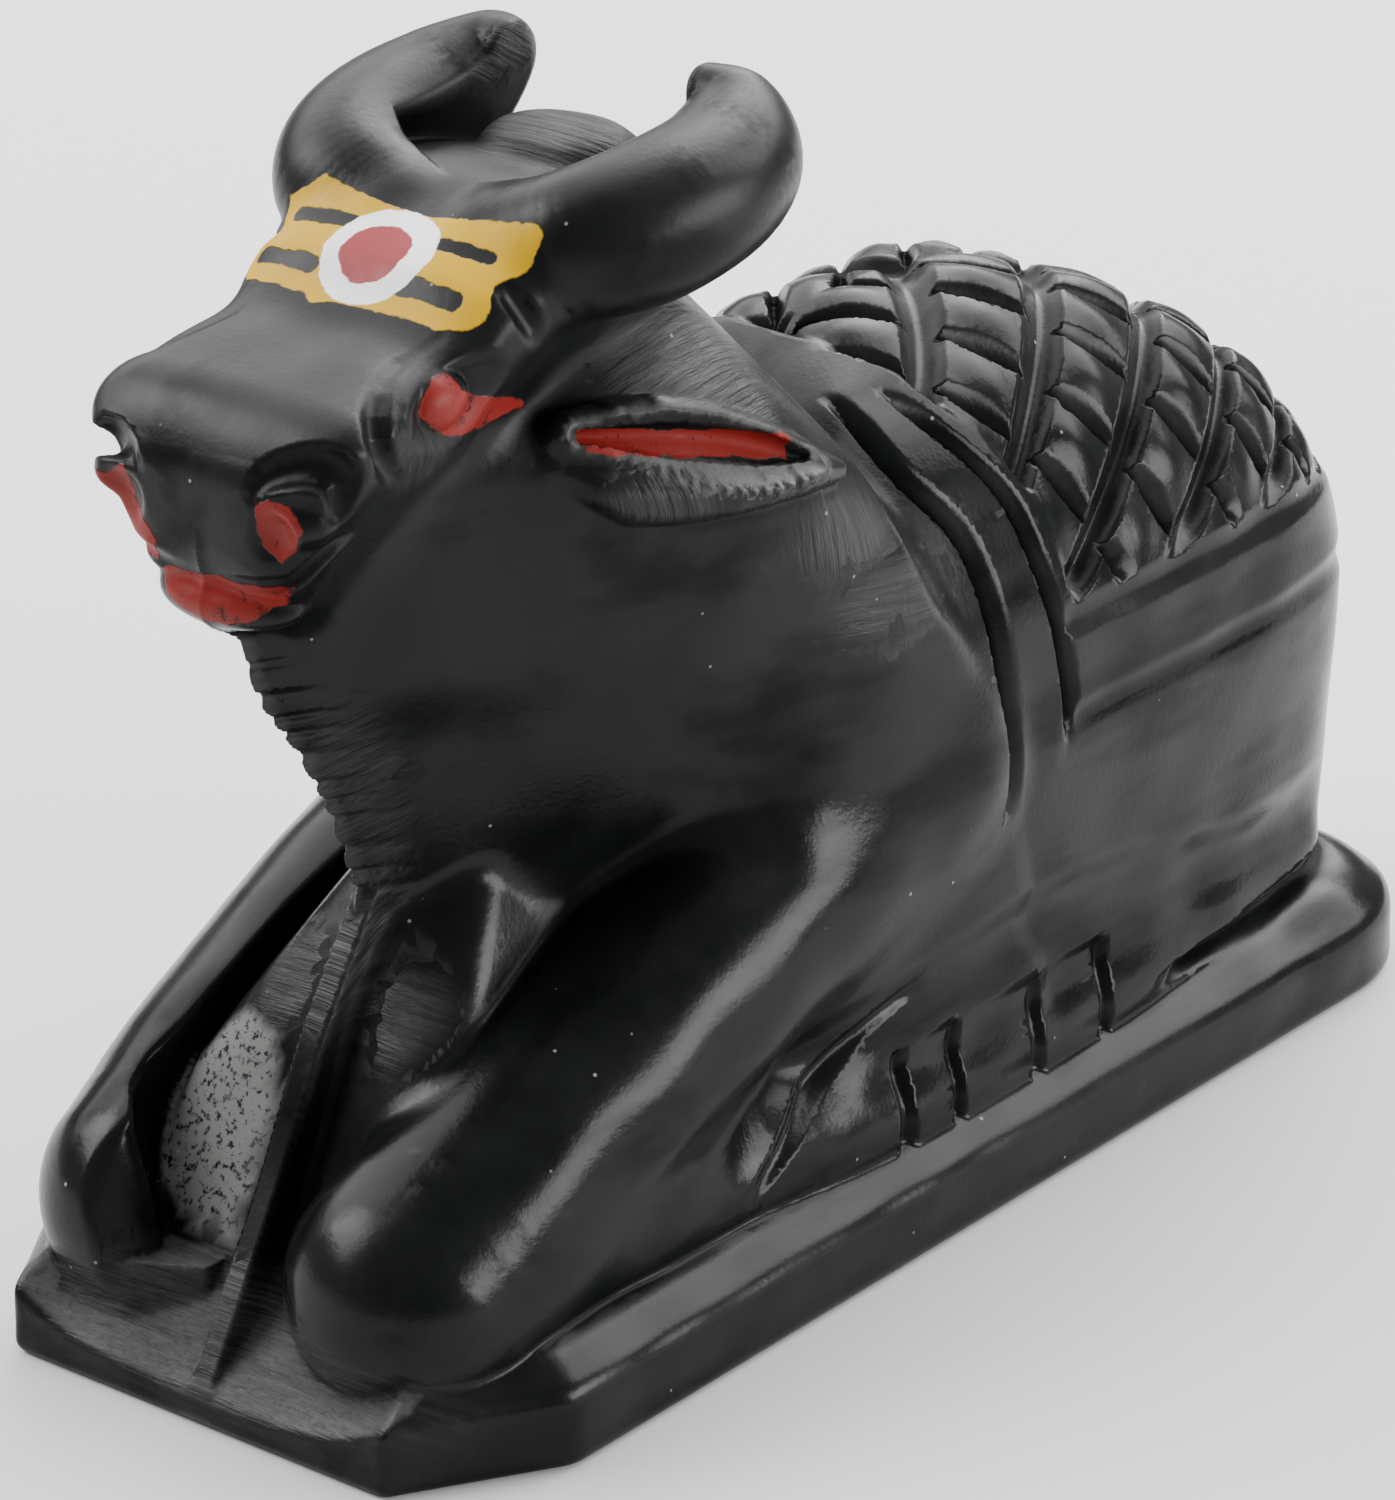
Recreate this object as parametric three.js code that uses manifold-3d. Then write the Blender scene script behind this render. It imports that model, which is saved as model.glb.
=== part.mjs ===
// Nandi bull figure: a reclining bull and its low plinth, carved from one block of dark stone.
// Millimetres, +Z up. The bull faces -Y, its left flank is towards +X, and the origin lies
// under the middle of the plinth, on the ground.
import * as THREE from 'three';
import { mergeVertices } from 'three/addons/utils/BufferGeometryUtils.js';
import Module from 'manifold-3d';

// Figure size, knees to rump and flank to flank, and the plinth left bare around it
const bullLength = 95.8;
const bullWidth = 36;
const kneeMargin = 1;
const rumpMargin = 3.2;
const flankMargin = 2;

// Plinth sizes
const wallHeight = 4.6;
const bandHeight = 2.2;
const bandInset = 3;
const edgeChamfer = 0.6;
const frontCornerAcross = 6;
const frontCornerAlong = 9.7;
const rearCornerRadius = 11;
const frontSlopeWidth = 28;
const frontSlopeRise = 2.4;
const frontSlopeEdge = 1.9;
const frontSlopeAngle = 36;
const slabUnderBull = 1;

// Carved lines
const grooveDepth = 1.2;
const latticeNarrow = 1.7;
const latticeWide = 2.5;
const latticePitch = 6.5;
const latticeRowPitch = 12.3;
const strapGroove = 3;
const borderGroove = 1.3;

// Fineness of the carved surface: cells in the bull's length, and triangles kept
const cellsAlong = 120;
const triangleBudget = 9200;

// The bull is a free form, drawn at this length and half width, with the plinth's top at this
// height: every number in the shapes below is a share of that drawing.
const drawnLength = 95.8;
const drawnHalf = 18;
const drawnKnee = -49;
const drawnSeat = 6.8;

const unit = bullLength / drawnLength;
const unitAcross = bullWidth / (2 * drawnHalf);
const plinthLength = kneeMargin + bullLength + rumpMargin;
const plinthWidth = bullWidth + 2 * flankMargin;
const plinthTop = wallHeight + bandHeight;
const cell = bullLength / cellsAlong;
const weldDistance = 1e-3;

const clamp = THREE.MathUtils.clamp;
const step = THREE.MathUtils.smoothstep;

// Joins two solids with a fillet of about k
function join(a, b, k) {
  const h = Math.max(k - Math.abs(a - b), 0) / k;
  return Math.min(a, b) - h * h * k / 4;
}

// Keeps what two solids share, with a rounded edge of about k
function share(a, b, k) {
  return -join(-a, -b, k);
}

// Takes b out of a, with a rounded edge of about k
function cut(a, b, k) {
  return -join(-a, b, k);
}

function length2(a, b) {
  return Math.sqrt(a * a + b * b);
}

function length3(a, b, c) {
  return Math.sqrt(a * a + b * b + c * c);
}

// A value read off a smooth curve through [place, value] stations
function along(stations, t) {
  const last = stations.length - 1;
  if (t <= stations[0][0]) return stations[0][1];
  if (t >= stations[last][0]) return stations[last][1];
  let i = 0;
  while (t > stations[i + 1][0]) i += 1;
  const slope = (j) => {
    const a = stations[Math.max(j - 1, 0)];
    const b = stations[Math.min(j + 1, last)];
    return (b[1] - a[1]) / (b[0] - a[0]);
  };
  const [t0, v0] = stations[i];
  const [t1, v1] = stations[i + 1];
  const span = t1 - t0;
  const s = (t - t0) / span;
  const rise = s * s * (3 - 2 * s);
  return v0 + (v1 - v0) * rise
    + span * (slope(i) * s * (1 - s) * (1 - s) - slope(i + 1) * s * s * (1 - s));
}

// Ellipsoid about c with radii r
function egg(x, y, z, c, r) {
  const dx = (x - c[0]) / r[0];
  const dy = (y - c[1]) / r[1];
  const dz = (z - c[2]) / r[2];
  const k = length3(dx, dy, dz);
  const g = length3(dx / r[0], dy / r[1], dz / r[2]);
  return g < 1e-9 ? -Math.min(...r) : k * (k - 1) / g;
}

// Limb from a to b, [x, y, z, radius] at each end
function limb(x, y, z, a, b) {
  const bx = b[0] - a[0];
  const by = b[1] - a[1];
  const bz = b[2] - a[2];
  const px = x - a[0];
  const py = y - a[1];
  const pz = z - a[2];
  const t = clamp((px * bx + py * by + pz * bz) / (bx * bx + by * by + bz * bz), 0, 1);
  const r = a[3] + (b[3] - a[3]) * t;
  return length3(px - bx * t, py - by * t, pz - bz * t) - r;
}

// Smooth route through a few [x, y, z, radius] points
function route(points, steps) {
  const curve = new THREE.CatmullRomCurve3(points.map((p) => new THREE.Vector3(p[0], p[1], p[2])));
  const count = steps * (points.length - 1);
  const radii = points.map((p, i) => [i, p[3]]);
  return Array.from({ length: count + 1 }, (_, i) => {
    const p = curve.getPoint(i / count);
    return [p.x, p.y, p.z, along(radii, i / steps)];
  });
}

// Chain of limbs through a route
function chain(x, y, z, points) {
  let d = limb(x, y, z, points[0], points[1]);
  for (let i = 1; i < points.length - 1; i += 1) {
    d = Math.min(d, limb(x, y, z, points[i], points[i + 1]));
  }
  return d;
}

// Depth of a round-bottomed groove at a distance from its middle
function groove(distance, width, depth) {
  const t = clamp(Math.abs(distance) / (width / 2), 0, 1);
  return depth * (1 - t * t) * (1 - t * t);
}

// Grooves repeated at a pitch
function grooves(place, pitch, width, depth) {
  return groove(place - Math.round(place / pitch) * pitch, width, depth);
}

// Goes from 0 to 1 and back to 0 between two places, over a fade at each end
function between(t, low, high, fade) {
  return step(t, low, low + fade) * (1 - step(t, high - fade, high));
}

// Barrel: upright flanks below the spring line, an arched back above it, blunt in plan
const barrel = {
  halfWidth: drawnHalf - 0.6, middle: 10.3, toRump: 36.5, toShoulder: 28, spring: 27.2, rise: 25.1,
  planPower: 4.9, archPower: 1.9, footTaper: 0.0016,
};

function barrelSolid(X, y, z) {
  const half = y > barrel.middle ? barrel.toRump : barrel.toShoulder;
  const drop = Math.max(barrel.spring - z, 0);
  const a = barrel.halfWidth * (1 - barrel.footTaper * drop);
  const b = half * (1 - barrel.footTaper * drop);
  const { planPower: p, archPower: q, rise: c } = barrel;
  const u = Math.max(X, 1e-3) / a;
  const v = Math.max(Math.abs(y - barrel.middle), 1e-3) / b;
  const w = Math.max(z - barrel.spring, 1e-3) / c;
  const rho = (u ** p + v ** p) ** (1 / p);
  const f = (rho ** q + w ** q) ** (1 / q);
  const gRho = (rho / f) ** (q - 1);
  const g = length3(
    gRho * (u / rho) ** (p - 1) / a, gRho * (v / rho) ** (p - 1) / b, (w / f) ** (q - 1) / c);
  return (f - 1) / g;
}

// Neck and chest: a wedge whose keel runs from throat to brisket, under a roof-shaped nape that
// breaks off above the withers
const keel = [[16, -31.5], [25.5, -34.7], [32.3, -37.4], [37.3, -39.8], [42.8, -43.6], [50, -45]];
const wedgeSpread = 0.577;
const napeRidge = [[-45, 52], [-30, 60.5], [-14, 61.5], [-8, 58.3], [0, 54]];
const napeFall = 0.68;
const neckHalf = drawnHalf - 2.4;

function neckSolid(X, y, z) {
  const slant = 1 / length2(1, wedgeSpread);
  const side = (X - (y - along(keel, z)) * wedgeSpread) * slant;
  const roof = (z - along(napeRidge, y) + X * napeFall) / length2(1, napeFall);
  const back = (y + 7.5) * 0.95 + (z - 54) * 0.3;
  let d = share(side, roof, 2);
  d = share(d, X - neckHalf, 5);
  d = share(d, z - 66, 2);
  return share(d, back, 1);
}

// Forelegs: folded under with the knees forward and the shin along the plinth, each a thick wall
// with an upright inner face
const foreleg = route([
  [10.4, 0, 27, 7.6], [10.6, -12, 22.5, 7.5], [10.6, -27, 16.6, 7.1], [10.2, -36, 12, 7.1],
  [9.4, -41.5, 8.6, 7.6],
], 3);
const shin = route([
  [9.8, -39, 8.4, 6.6], [10.6, -28, 8.6, 6.4], [11, -18, 8.8, 6.1], [11.2, -11, 9, 5.6],
], 2);
const innerNear = [[-48.5, 6], [-45.5, 2.6], [-43, 4.2], [-38, 5.2], [-20, 6]];
const innerFar = [[-48.5, 6.4], [-45.5, 3], [-43.5, 5.4], [-41, 8], [-38, 9], [-26, 9], [-18, 7]];

function forelegSolid(x, X, y, z) {
  const inner = along(x > 0 ? innerNear : innerFar, y);
  return share(join(chain(X, y, z, foreleg), chain(X, y, z, shin), 2), inner - X, 0.8);
}

// Chest front: a panel slanting down from the brisket between the forelegs
function chestSolid(X, y, z) {
  const front = (-45 + (z - 5) * 0.5 - y) * 0.894;
  const side = (X + (z - 16) * 0.45 - 9.8) * 0.912;
  const top = (z - 25.5 - (y + 34.7) * 0.9 + X * 0.5) * 0.7;
  return share(share(side, front, 1.5), Math.max(y + 20, top, X - 10), 1.5);
}

// Rib: the dewlap carried down as a thin ridge between the forelegs
const ribLine = [
  [2, -49.7], [6, -47.4], [10.1, -45], [15.9, -41.8], [20.5, -39.4], [27.7, -34.8], [31, -33],
];
const ribHalf = 0.9;

function ribSolid(X, y, z) {
  const fore = (along(ribLine, z) - y) * 0.9;
  return share(share(X - ribHalf, fore, 0.6), Math.max(y + 20, z - 34), 1);
}

// Hind leg: a low roll along the flank, parted from it by a soft channel, that ends in a hoof
// cut into blocks
const hindRoll = route([
  [11.4, 38.5, 8.6, 4.2], [13.6, 22, 7.8, 4.1], [14.2, 2, 7, 3.8], [13.6, -16, 7, 3.6], [13.2, -21, 6.6, 2.8],
], 2);
const channelLine = [
  [-26, 9.6], [-15.5, 12.6], [-6, 14.4], [6.5, 15.6], [17.5, 14.8], [26.5, 12.8], [36, 12.4],
];
const hoofCuts = [-6.5, -1.4, 6.6, 13.7];

function hindLegCuts(X, y, z) {
  const outside = step(X, 12, 15);
  const soft = groove(z - along(channelLine, y), 5.4, 1.1) * between(y, -27, 44, 8);
  const foot = groove(z - 7.4, 1.6 + 1.4 * step(y, 18, 40), 1.3) * between(y, 18, 46, 6);
  let blocks = 0;
  for (const place of hoofCuts) {
    const lean = place + (z - 10) * 0.15;
    blocks = Math.max(blocks, groove(y - lean, 1.6, 1.1) * between(z, 5, 12.4, 1));
  }
  return outside * Math.max(soft, foot, blocks);
}

// Blanket: places are read along the back and down the girth of the barrel
function girthPlace(X, z) {
  const rise = (z - barrel.spring) / barrel.rise;
  const quarter = 22.3;
  if (rise <= 0) return quarter * Math.PI / 2 - (z - barrel.spring);
  return quarter * Math.atan2(X / barrel.halfWidth, rise);
}

function backPlace(y) {
  const from = y - barrel.middle;
  if (from <= 0) return y;
  return barrel.middle + barrel.toRump * Math.asin(Math.min(from / barrel.toRump, 1));
}

const frontStrap = [[6, -1], [9, -0.7], [16, 0], [23, 3.2], [40, 3.4]];
const rearStrap = [[6, 0.6], [9.5, 2.3], [15.2, 4.8], [20.6, 7.7], [24.8, 8.6], [29.7, 9.4], [40, 10]];
const latticeLow = 28.4;
const borderHeights = [34, 28];

function blanketCuts(X, y, z) {
  const g = girthPlace(X, z);
  const s = backPlace(y);
  const strapLead = step(g, 6, 14);
  const front = groove(s - along(frontStrap, g), strapGroove * (0.5 + 0.5 * strapLead), grooveDepth)
    * between(g, 6, 38.5, 2.5);
  const rear = groove(s - along(rearStrap, g), strapGroove * (0.45 + 0.45 * strapLead), grooveDepth)
    * between(g, 7, 35, 2.5);
  const fromStrap = s - (g < 6 ? 2.2 : along(rearStrap, g) + 1.6);
  const withinHem = 1 - step(g, latticeLow - 1, latticeLow);
  const beforeRump = 1 - step(y, 43.5, 46);
  const field = step(fromStrap, 0, 1) * withinHem * beforeRump;
  const downBack = s - 1.05 * g + 0.012 * g * g - 16;
  const downFore = s + 0.55 * g + 0.018 * g * g - 15;
  const lattice = field * Math.max(
    grooves(downBack, latticePitch, latticeNarrow, grooveDepth),
    grooves(downFore, latticeRowPitch, latticeWide, grooveDepth * 1.15));
  let border = 0;
  for (const height of borderHeights) {
    border = Math.max(border, groove(z - height, borderGroove, grooveDepth * 0.5));
  }
  border *= step(y, 8, 11);
  return Math.max(front, rear, lattice, border);
}

// Tail: a plain strap down the rump between two grooves
function tailCuts(X, y, z) {
  return groove(X - 2.4, 1.6, grooveDepth * 0.8) * step(y, 41, 44) * between(z, 7, 44, 3);
}

// Head: a flat-topped wedge, widest below the brow and tapering down to the jaw
const faceTop = [
  [-47, 59.6], [-45, 60.4], [-42.9, 60.9], [-39.7, 61.5], [-36.5, 62], [-34.4, 63], [-32.4, 64.7],
  [-27.9, 66.5], [-24.6, 67.4], [-20.4, 67.2], [-14.2, 65.6], [-11, 64],
];
const headHalf = [
  [-47.5, 9.9], [-44, 9.8], [-40, 9.3], [-36, 9.4], [-33, 9.8], [-29, 10.3], [-23, 10], [-16, 9],
  [-11, 7.5],
];
const jawLine = [[-46, 48.5], [-40, 46], [-30, 44], [-22, 47], [-11, 53]];
const headPower = 5;
const headFront = -47.6;
const headWide = 3.6;
const jawTaper = 0.62;

function headSolid(X, y, z) {
  const top = along(faceTop, y);
  const low = along(jawLine, y);
  const half = along(headHalf, y);
  const mid = (top + low) / 2;
  const tall = (top - low) / 2;
  const n = headPower;
  const u = Math.max(X, 1e-3) / half;
  const w = Math.max(Math.abs(z - mid), 1e-3) / tall;
  const f = (u ** n + w ** n) ** (1 / n);
  const g = length2((u / f) ** (n - 1) / half, (w / f) ** (n - 1) / tall);
  const cheek = (X - half + jawTaper * (top - headWide - z)) / length2(1, jawTaper);
  const d = share((f - 1) / g, cheek, 1.6);
  return share(share(d, headFront - y, 4.5), y + 12, 5);
}

// Lines of the face, each a row of [x, y, z, radius]
const mouthLine = route([[0, -48.2, 50.4, 0.7], [4, -47.4, 50.6, 0.7], [6, -46, 51.2, 0.4]], 2);
const nostrilCrease = route([
  [4.1, -48, 56.2, 0.5], [4.9, -47.6, 57.5, 0.9], [6.5, -47, 58.3, 1.1], [8, -46.5, 58.5, 1.3],
  [9.1, -45.8, 57.6, 1.2], [8.8, -45.5, 55.6, 0.7],
], 2);
const faceLines = [
  route([
    [6.8, -35.4, 62.6, 0.4], [6.4, -38, 62, 0.6], [7.4, -40.6, 61.4, 0.7], [9.2, -42.9, 59.4, 0.8],
    [9.4, -41.6, 55.8, 0.4],
  ], 2),
  route([[9.4, -40.6, 59.8, 0.4], [9.4, -39.6, 57, 0.5], [8.6, -38.6, 54.6, 0.3]], 2),
  route([[8.6, -31.6, 64.4, 0.6], [10, -30.6, 61.8, 0.7], [9.9, -29.2, 59.2, 0.3]], 1),
  route([[9.6, -28.9, 64, 0.5], [10.4, -27.6, 61, 0.5]], 1),
];
const eye = { at: [7.5, -36.6, 59.2], size: [1.5, 2.3, 1.7] };
const socket = { at: [9.8, -36.2, 59.2], size: [2.2, 4, 2.7] };
const nostril = { at: [5.6, -48.4, 53.8], size: [1.8, 1.6, 2] };
const nostrilWing = { at: [6, -46, 54.9], size: [2.3, 1.8, 1.5] };
const lowerLip = { at: [0, -44.8, 48.8], size: [4.8, 2.6, 1.8] };

function faceSolid(X, y, z) {
  let d = headSolid(X, y, z);
  if (y > -26) return d;
  for (const line of faceLines) d = cut(d, chain(X, y, z, line), 0.5);
  d = cut(d, chain(X, y, z, nostrilCrease), 0.5);
  d = join(d, egg(X, y, z, nostrilWing.at, nostrilWing.size), 0.4);
  d = cut(d, egg(X, y, z, nostril.at, nostril.size), 0.4);
  d = cut(d, egg(X, y, z, socket.at, socket.size), 0.8);
  d = join(d, egg(X, y, z, eye.at, eye.size), 0.3);
  d = join(d, egg(X, y, z, lowerLip.at, lowerLip.size), 0.5);
  return cut(d, chain(X, y, z, mouthLine), 0.4);
}

// Tuft on the poll, between the horns
const tuft = { at: [0, -17, 66], size: [5.5, 3.6, 1.6] };

// Horn, swept out, back and in, with a flat dressed on its inner side
const horn = route([
  [4.4, -26, 63.8, 4.1], [8.5, -24.9, 65.2, 4.4], [10.6, -20.7, 66.2, 4.5], [10.3, -14.9, 67.4, 4.2],
  [8.9, -12.6, 69.2, 3], [7.4, -12.8, 70.4, 1.9],
], 3);

function hornSolid(X, y, z) {
  const flat = (7.9 - 0.25 * (z - 66) - X) * 0.97 - Math.max(-22.5 - y, 0) * 2;
  return share(chain(X, y, z, horn), flat, 0.8);
}

// Ear: a leaf lying back along the neck, thick, with a slot down its middle
const ear = route([
  [9, -27.6, 55, 1.4], [10.8, -22.5, 53.4, 2.7], [12.8, -16.5, 51.3, 2.7], [14.3, -10.4, 49.2, 0.7],
], 2);
const earSlot = route([
  [10.6, -27, 56.2, 0.6], [13.6, -22.4, 54.8, 1], [15.2, -17.4, 52.8, 1], [15.6, -14, 51, 0.4],
], 2);

function earSolid(X, y, z) {
  return cut(chain(X, y, z, ear), chain(X, y, z, earSlot), 0.4);
}

function bullSolid(x, y, z) {
  const X = Math.abs(x);
  let d = join(barrelSolid(X, y, z), neckSolid(X, y, z), 3);
  d = join(d, forelegSolid(x, X, y, z), 2);
  d = join(d, chain(X, y, z, hindRoll), 1);
  d += Math.max(hindLegCuts(X, y, z), y > -6 ? Math.max(blanketCuts(X, y, z), tailCuts(X, y, z)) : 0);
  d = join(d, chestSolid(X, y, z), 1);
  d = join(d, ribSolid(X, y, z), 0.8);
  d = join(d, faceSolid(X, y, z), 2);
  d = join(d, egg(X, y, z, tuft.at, tuft.size), 0.6);
  d = join(d, hornSolid(X, y, z), 1.2);
  return join(d, earSolid(X, y, z), 0.6);
}

// Polygons of a solid: one point in each cell that its surface crosses, moved onto the surface,
// and one square for each cell edge that it crosses
function polygonise(solid, low, high, size) {
  const count = low.map((v, k) => Math.ceil((high[k] - v) / size) + 1);
  const [nx, ny, nz] = count;
  const at = (i, j, k) => i + nx * (j + ny * k);
  const value = new Float64Array(nx * ny * nz);
  for (let k = 0; k < nz; k += 1) {
    for (let j = 0; j < ny; j += 1) {
      for (let i = 0; i < nx; i += 1) {
        value[at(i, j, k)] = solid(low[0] + i * size, low[1] + j * size, low[2] + k * size);
      }
    }
  }
  fillCorners(value, count, at, -1e-3 * size);
  const point = new Int32Array(nx * ny * nz).fill(-1);
  const points = [];
  const faces = [];
  for (let k = 0; k < nz - 1; k += 1) {
    for (let j = 0; j < ny - 1; j += 1) {
      for (let i = 0; i < nx - 1; i += 1) {
        const middle = crossing(value, at, i, j, k);
        if (middle) {
          point[at(i, j, k)] = points.length;
          const guess = middle.map((v, axis) => low[axis] + v * size);
          points.push(ontoSurface(solid, guess, size));
        }
      }
    }
  }
  const square = (inside, crossed, a, b, c, d) => {
    if (inside && !crossed) faces.push([a, b, c], [a, c, d]);
    if (crossed && !inside) faces.push([a, c, b], [a, d, c]);
  };
  for (let k = 1; k < nz - 1; k += 1) {
    for (let j = 1; j < ny - 1; j += 1) {
      for (let i = 1; i < nx - 1; i += 1) {
        const inside = value[at(i, j, k)] < 0;
        const p = (di, dj, dk) => point[at(i - di, j - dj, k - dk)];
        const fore = value[at(i + 1, j, k)] < 0;
        const beside = value[at(i, j + 1, k)] < 0;
        const above = value[at(i, j, k + 1)] < 0;
        square(inside, fore, p(0, 1, 1), p(0, 0, 1), p(0, 0, 0), p(0, 1, 0));
        square(inside, beside, p(1, 0, 1), p(1, 0, 0), p(0, 0, 0), p(0, 0, 1));
        square(inside, above, p(1, 1, 0), p(0, 1, 0), p(0, 0, 0), p(1, 0, 0));
      }
    }
  }
  return { points, faces };
}

// Fills the grid points beside which two parts of the solid would meet in a line or a point only
function fillCorners(value, count, at, filling) {
  const fill = (a, b) => { value[value[a] < value[b] ? a : b] = filling; };
  const squares = [[1, 2], [1, 4], [2, 4]];
  let found = true;
  while (found) {
    found = false;
    for (let k = 1; k < count[2] - 1; k += 1) {
      for (let j = 1; j < count[1] - 1; j += 1) {
        for (let i = 1; i < count[0] - 1; i += 1) {
          const corner = (c) => at(i + (c & 1), j + ((c >> 1) & 1), k + (c >> 2));
          const inside = (c) => value[corner(c)] < 0;
          for (const [p, q] of squares) {
            if (inside(0) === inside(p | q) && inside(p) === inside(q) && inside(0) !== inside(p)) {
              if (inside(0)) fill(corner(p), corner(q));
              else fill(corner(0), corner(p | q));
              found = true;
            }
          }
          for (let c = 0; c < 4; c += 1) {
            const first = inside(c);
            const others = [1, 2, 4].flatMap((axis) => [c ^ axis, 7 ^ c ^ axis]);
            if (first === inside(7 ^ c) && others.every((o) => inside(o) !== first)) {
              if (first) fill(corner(others[0]), corner(others[2]));
              else fill(corner(c), corner(7 ^ c));
              found = true;
            }
          }
        }
      }
    }
  }
}

// Middle of the places where the surface crosses the edges of cell i, j, k, or null
function crossing(value, at, i, j, k) {
  const corner = [];
  for (let c = 0; c < 8; c += 1) corner.push(value[at(i + (c & 1), j + ((c >> 1) & 1), k + (c >> 2))]);
  const sum = [0, 0, 0];
  let found = 0;
  for (let a = 0; a < 8; a += 1) {
    for (let axis = 0; axis < 3; axis += 1) {
      const b = a | (1 << axis);
      if (b !== a && (corner[a] < 0) !== (corner[b] < 0)) {
        sum[0] += a & 1;
        sum[1] += (a >> 1) & 1;
        sum[2] += a >> 2;
        sum[axis] += corner[a] / (corner[a] - corner[b]);
        found += 1;
      }
    }
  }
  return found ? [i + sum[0] / found, j + sum[1] / found, k + sum[2] / found] : null;
}

// Moves a point along the slope of the solid until it lies on the surface
function ontoSurface(solid, start, size) {
  const e = 0.05;
  let [x, y, z] = start;
  for (let turn = 0; turn < 3; turn += 1) {
    const d = solid(x, y, z);
    const gx = (solid(x + e, y, z) - solid(x - e, y, z)) / (2 * e);
    const gy = (solid(x, y + e, z) - solid(x, y - e, z)) / (2 * e);
    const gz = (solid(x, y, z + e) - solid(x, y, z - e)) / (2 * e);
    const g = length3(gx, gy, gz);
    if (g < 1e-3) break;
    const move = clamp(d / g, -0.3 * size, 0.3 * size) / g;
    x -= gx * move;
    y -= gy * move;
    z -= gz * move;
  }
  return [x, y, z];
}

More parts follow.
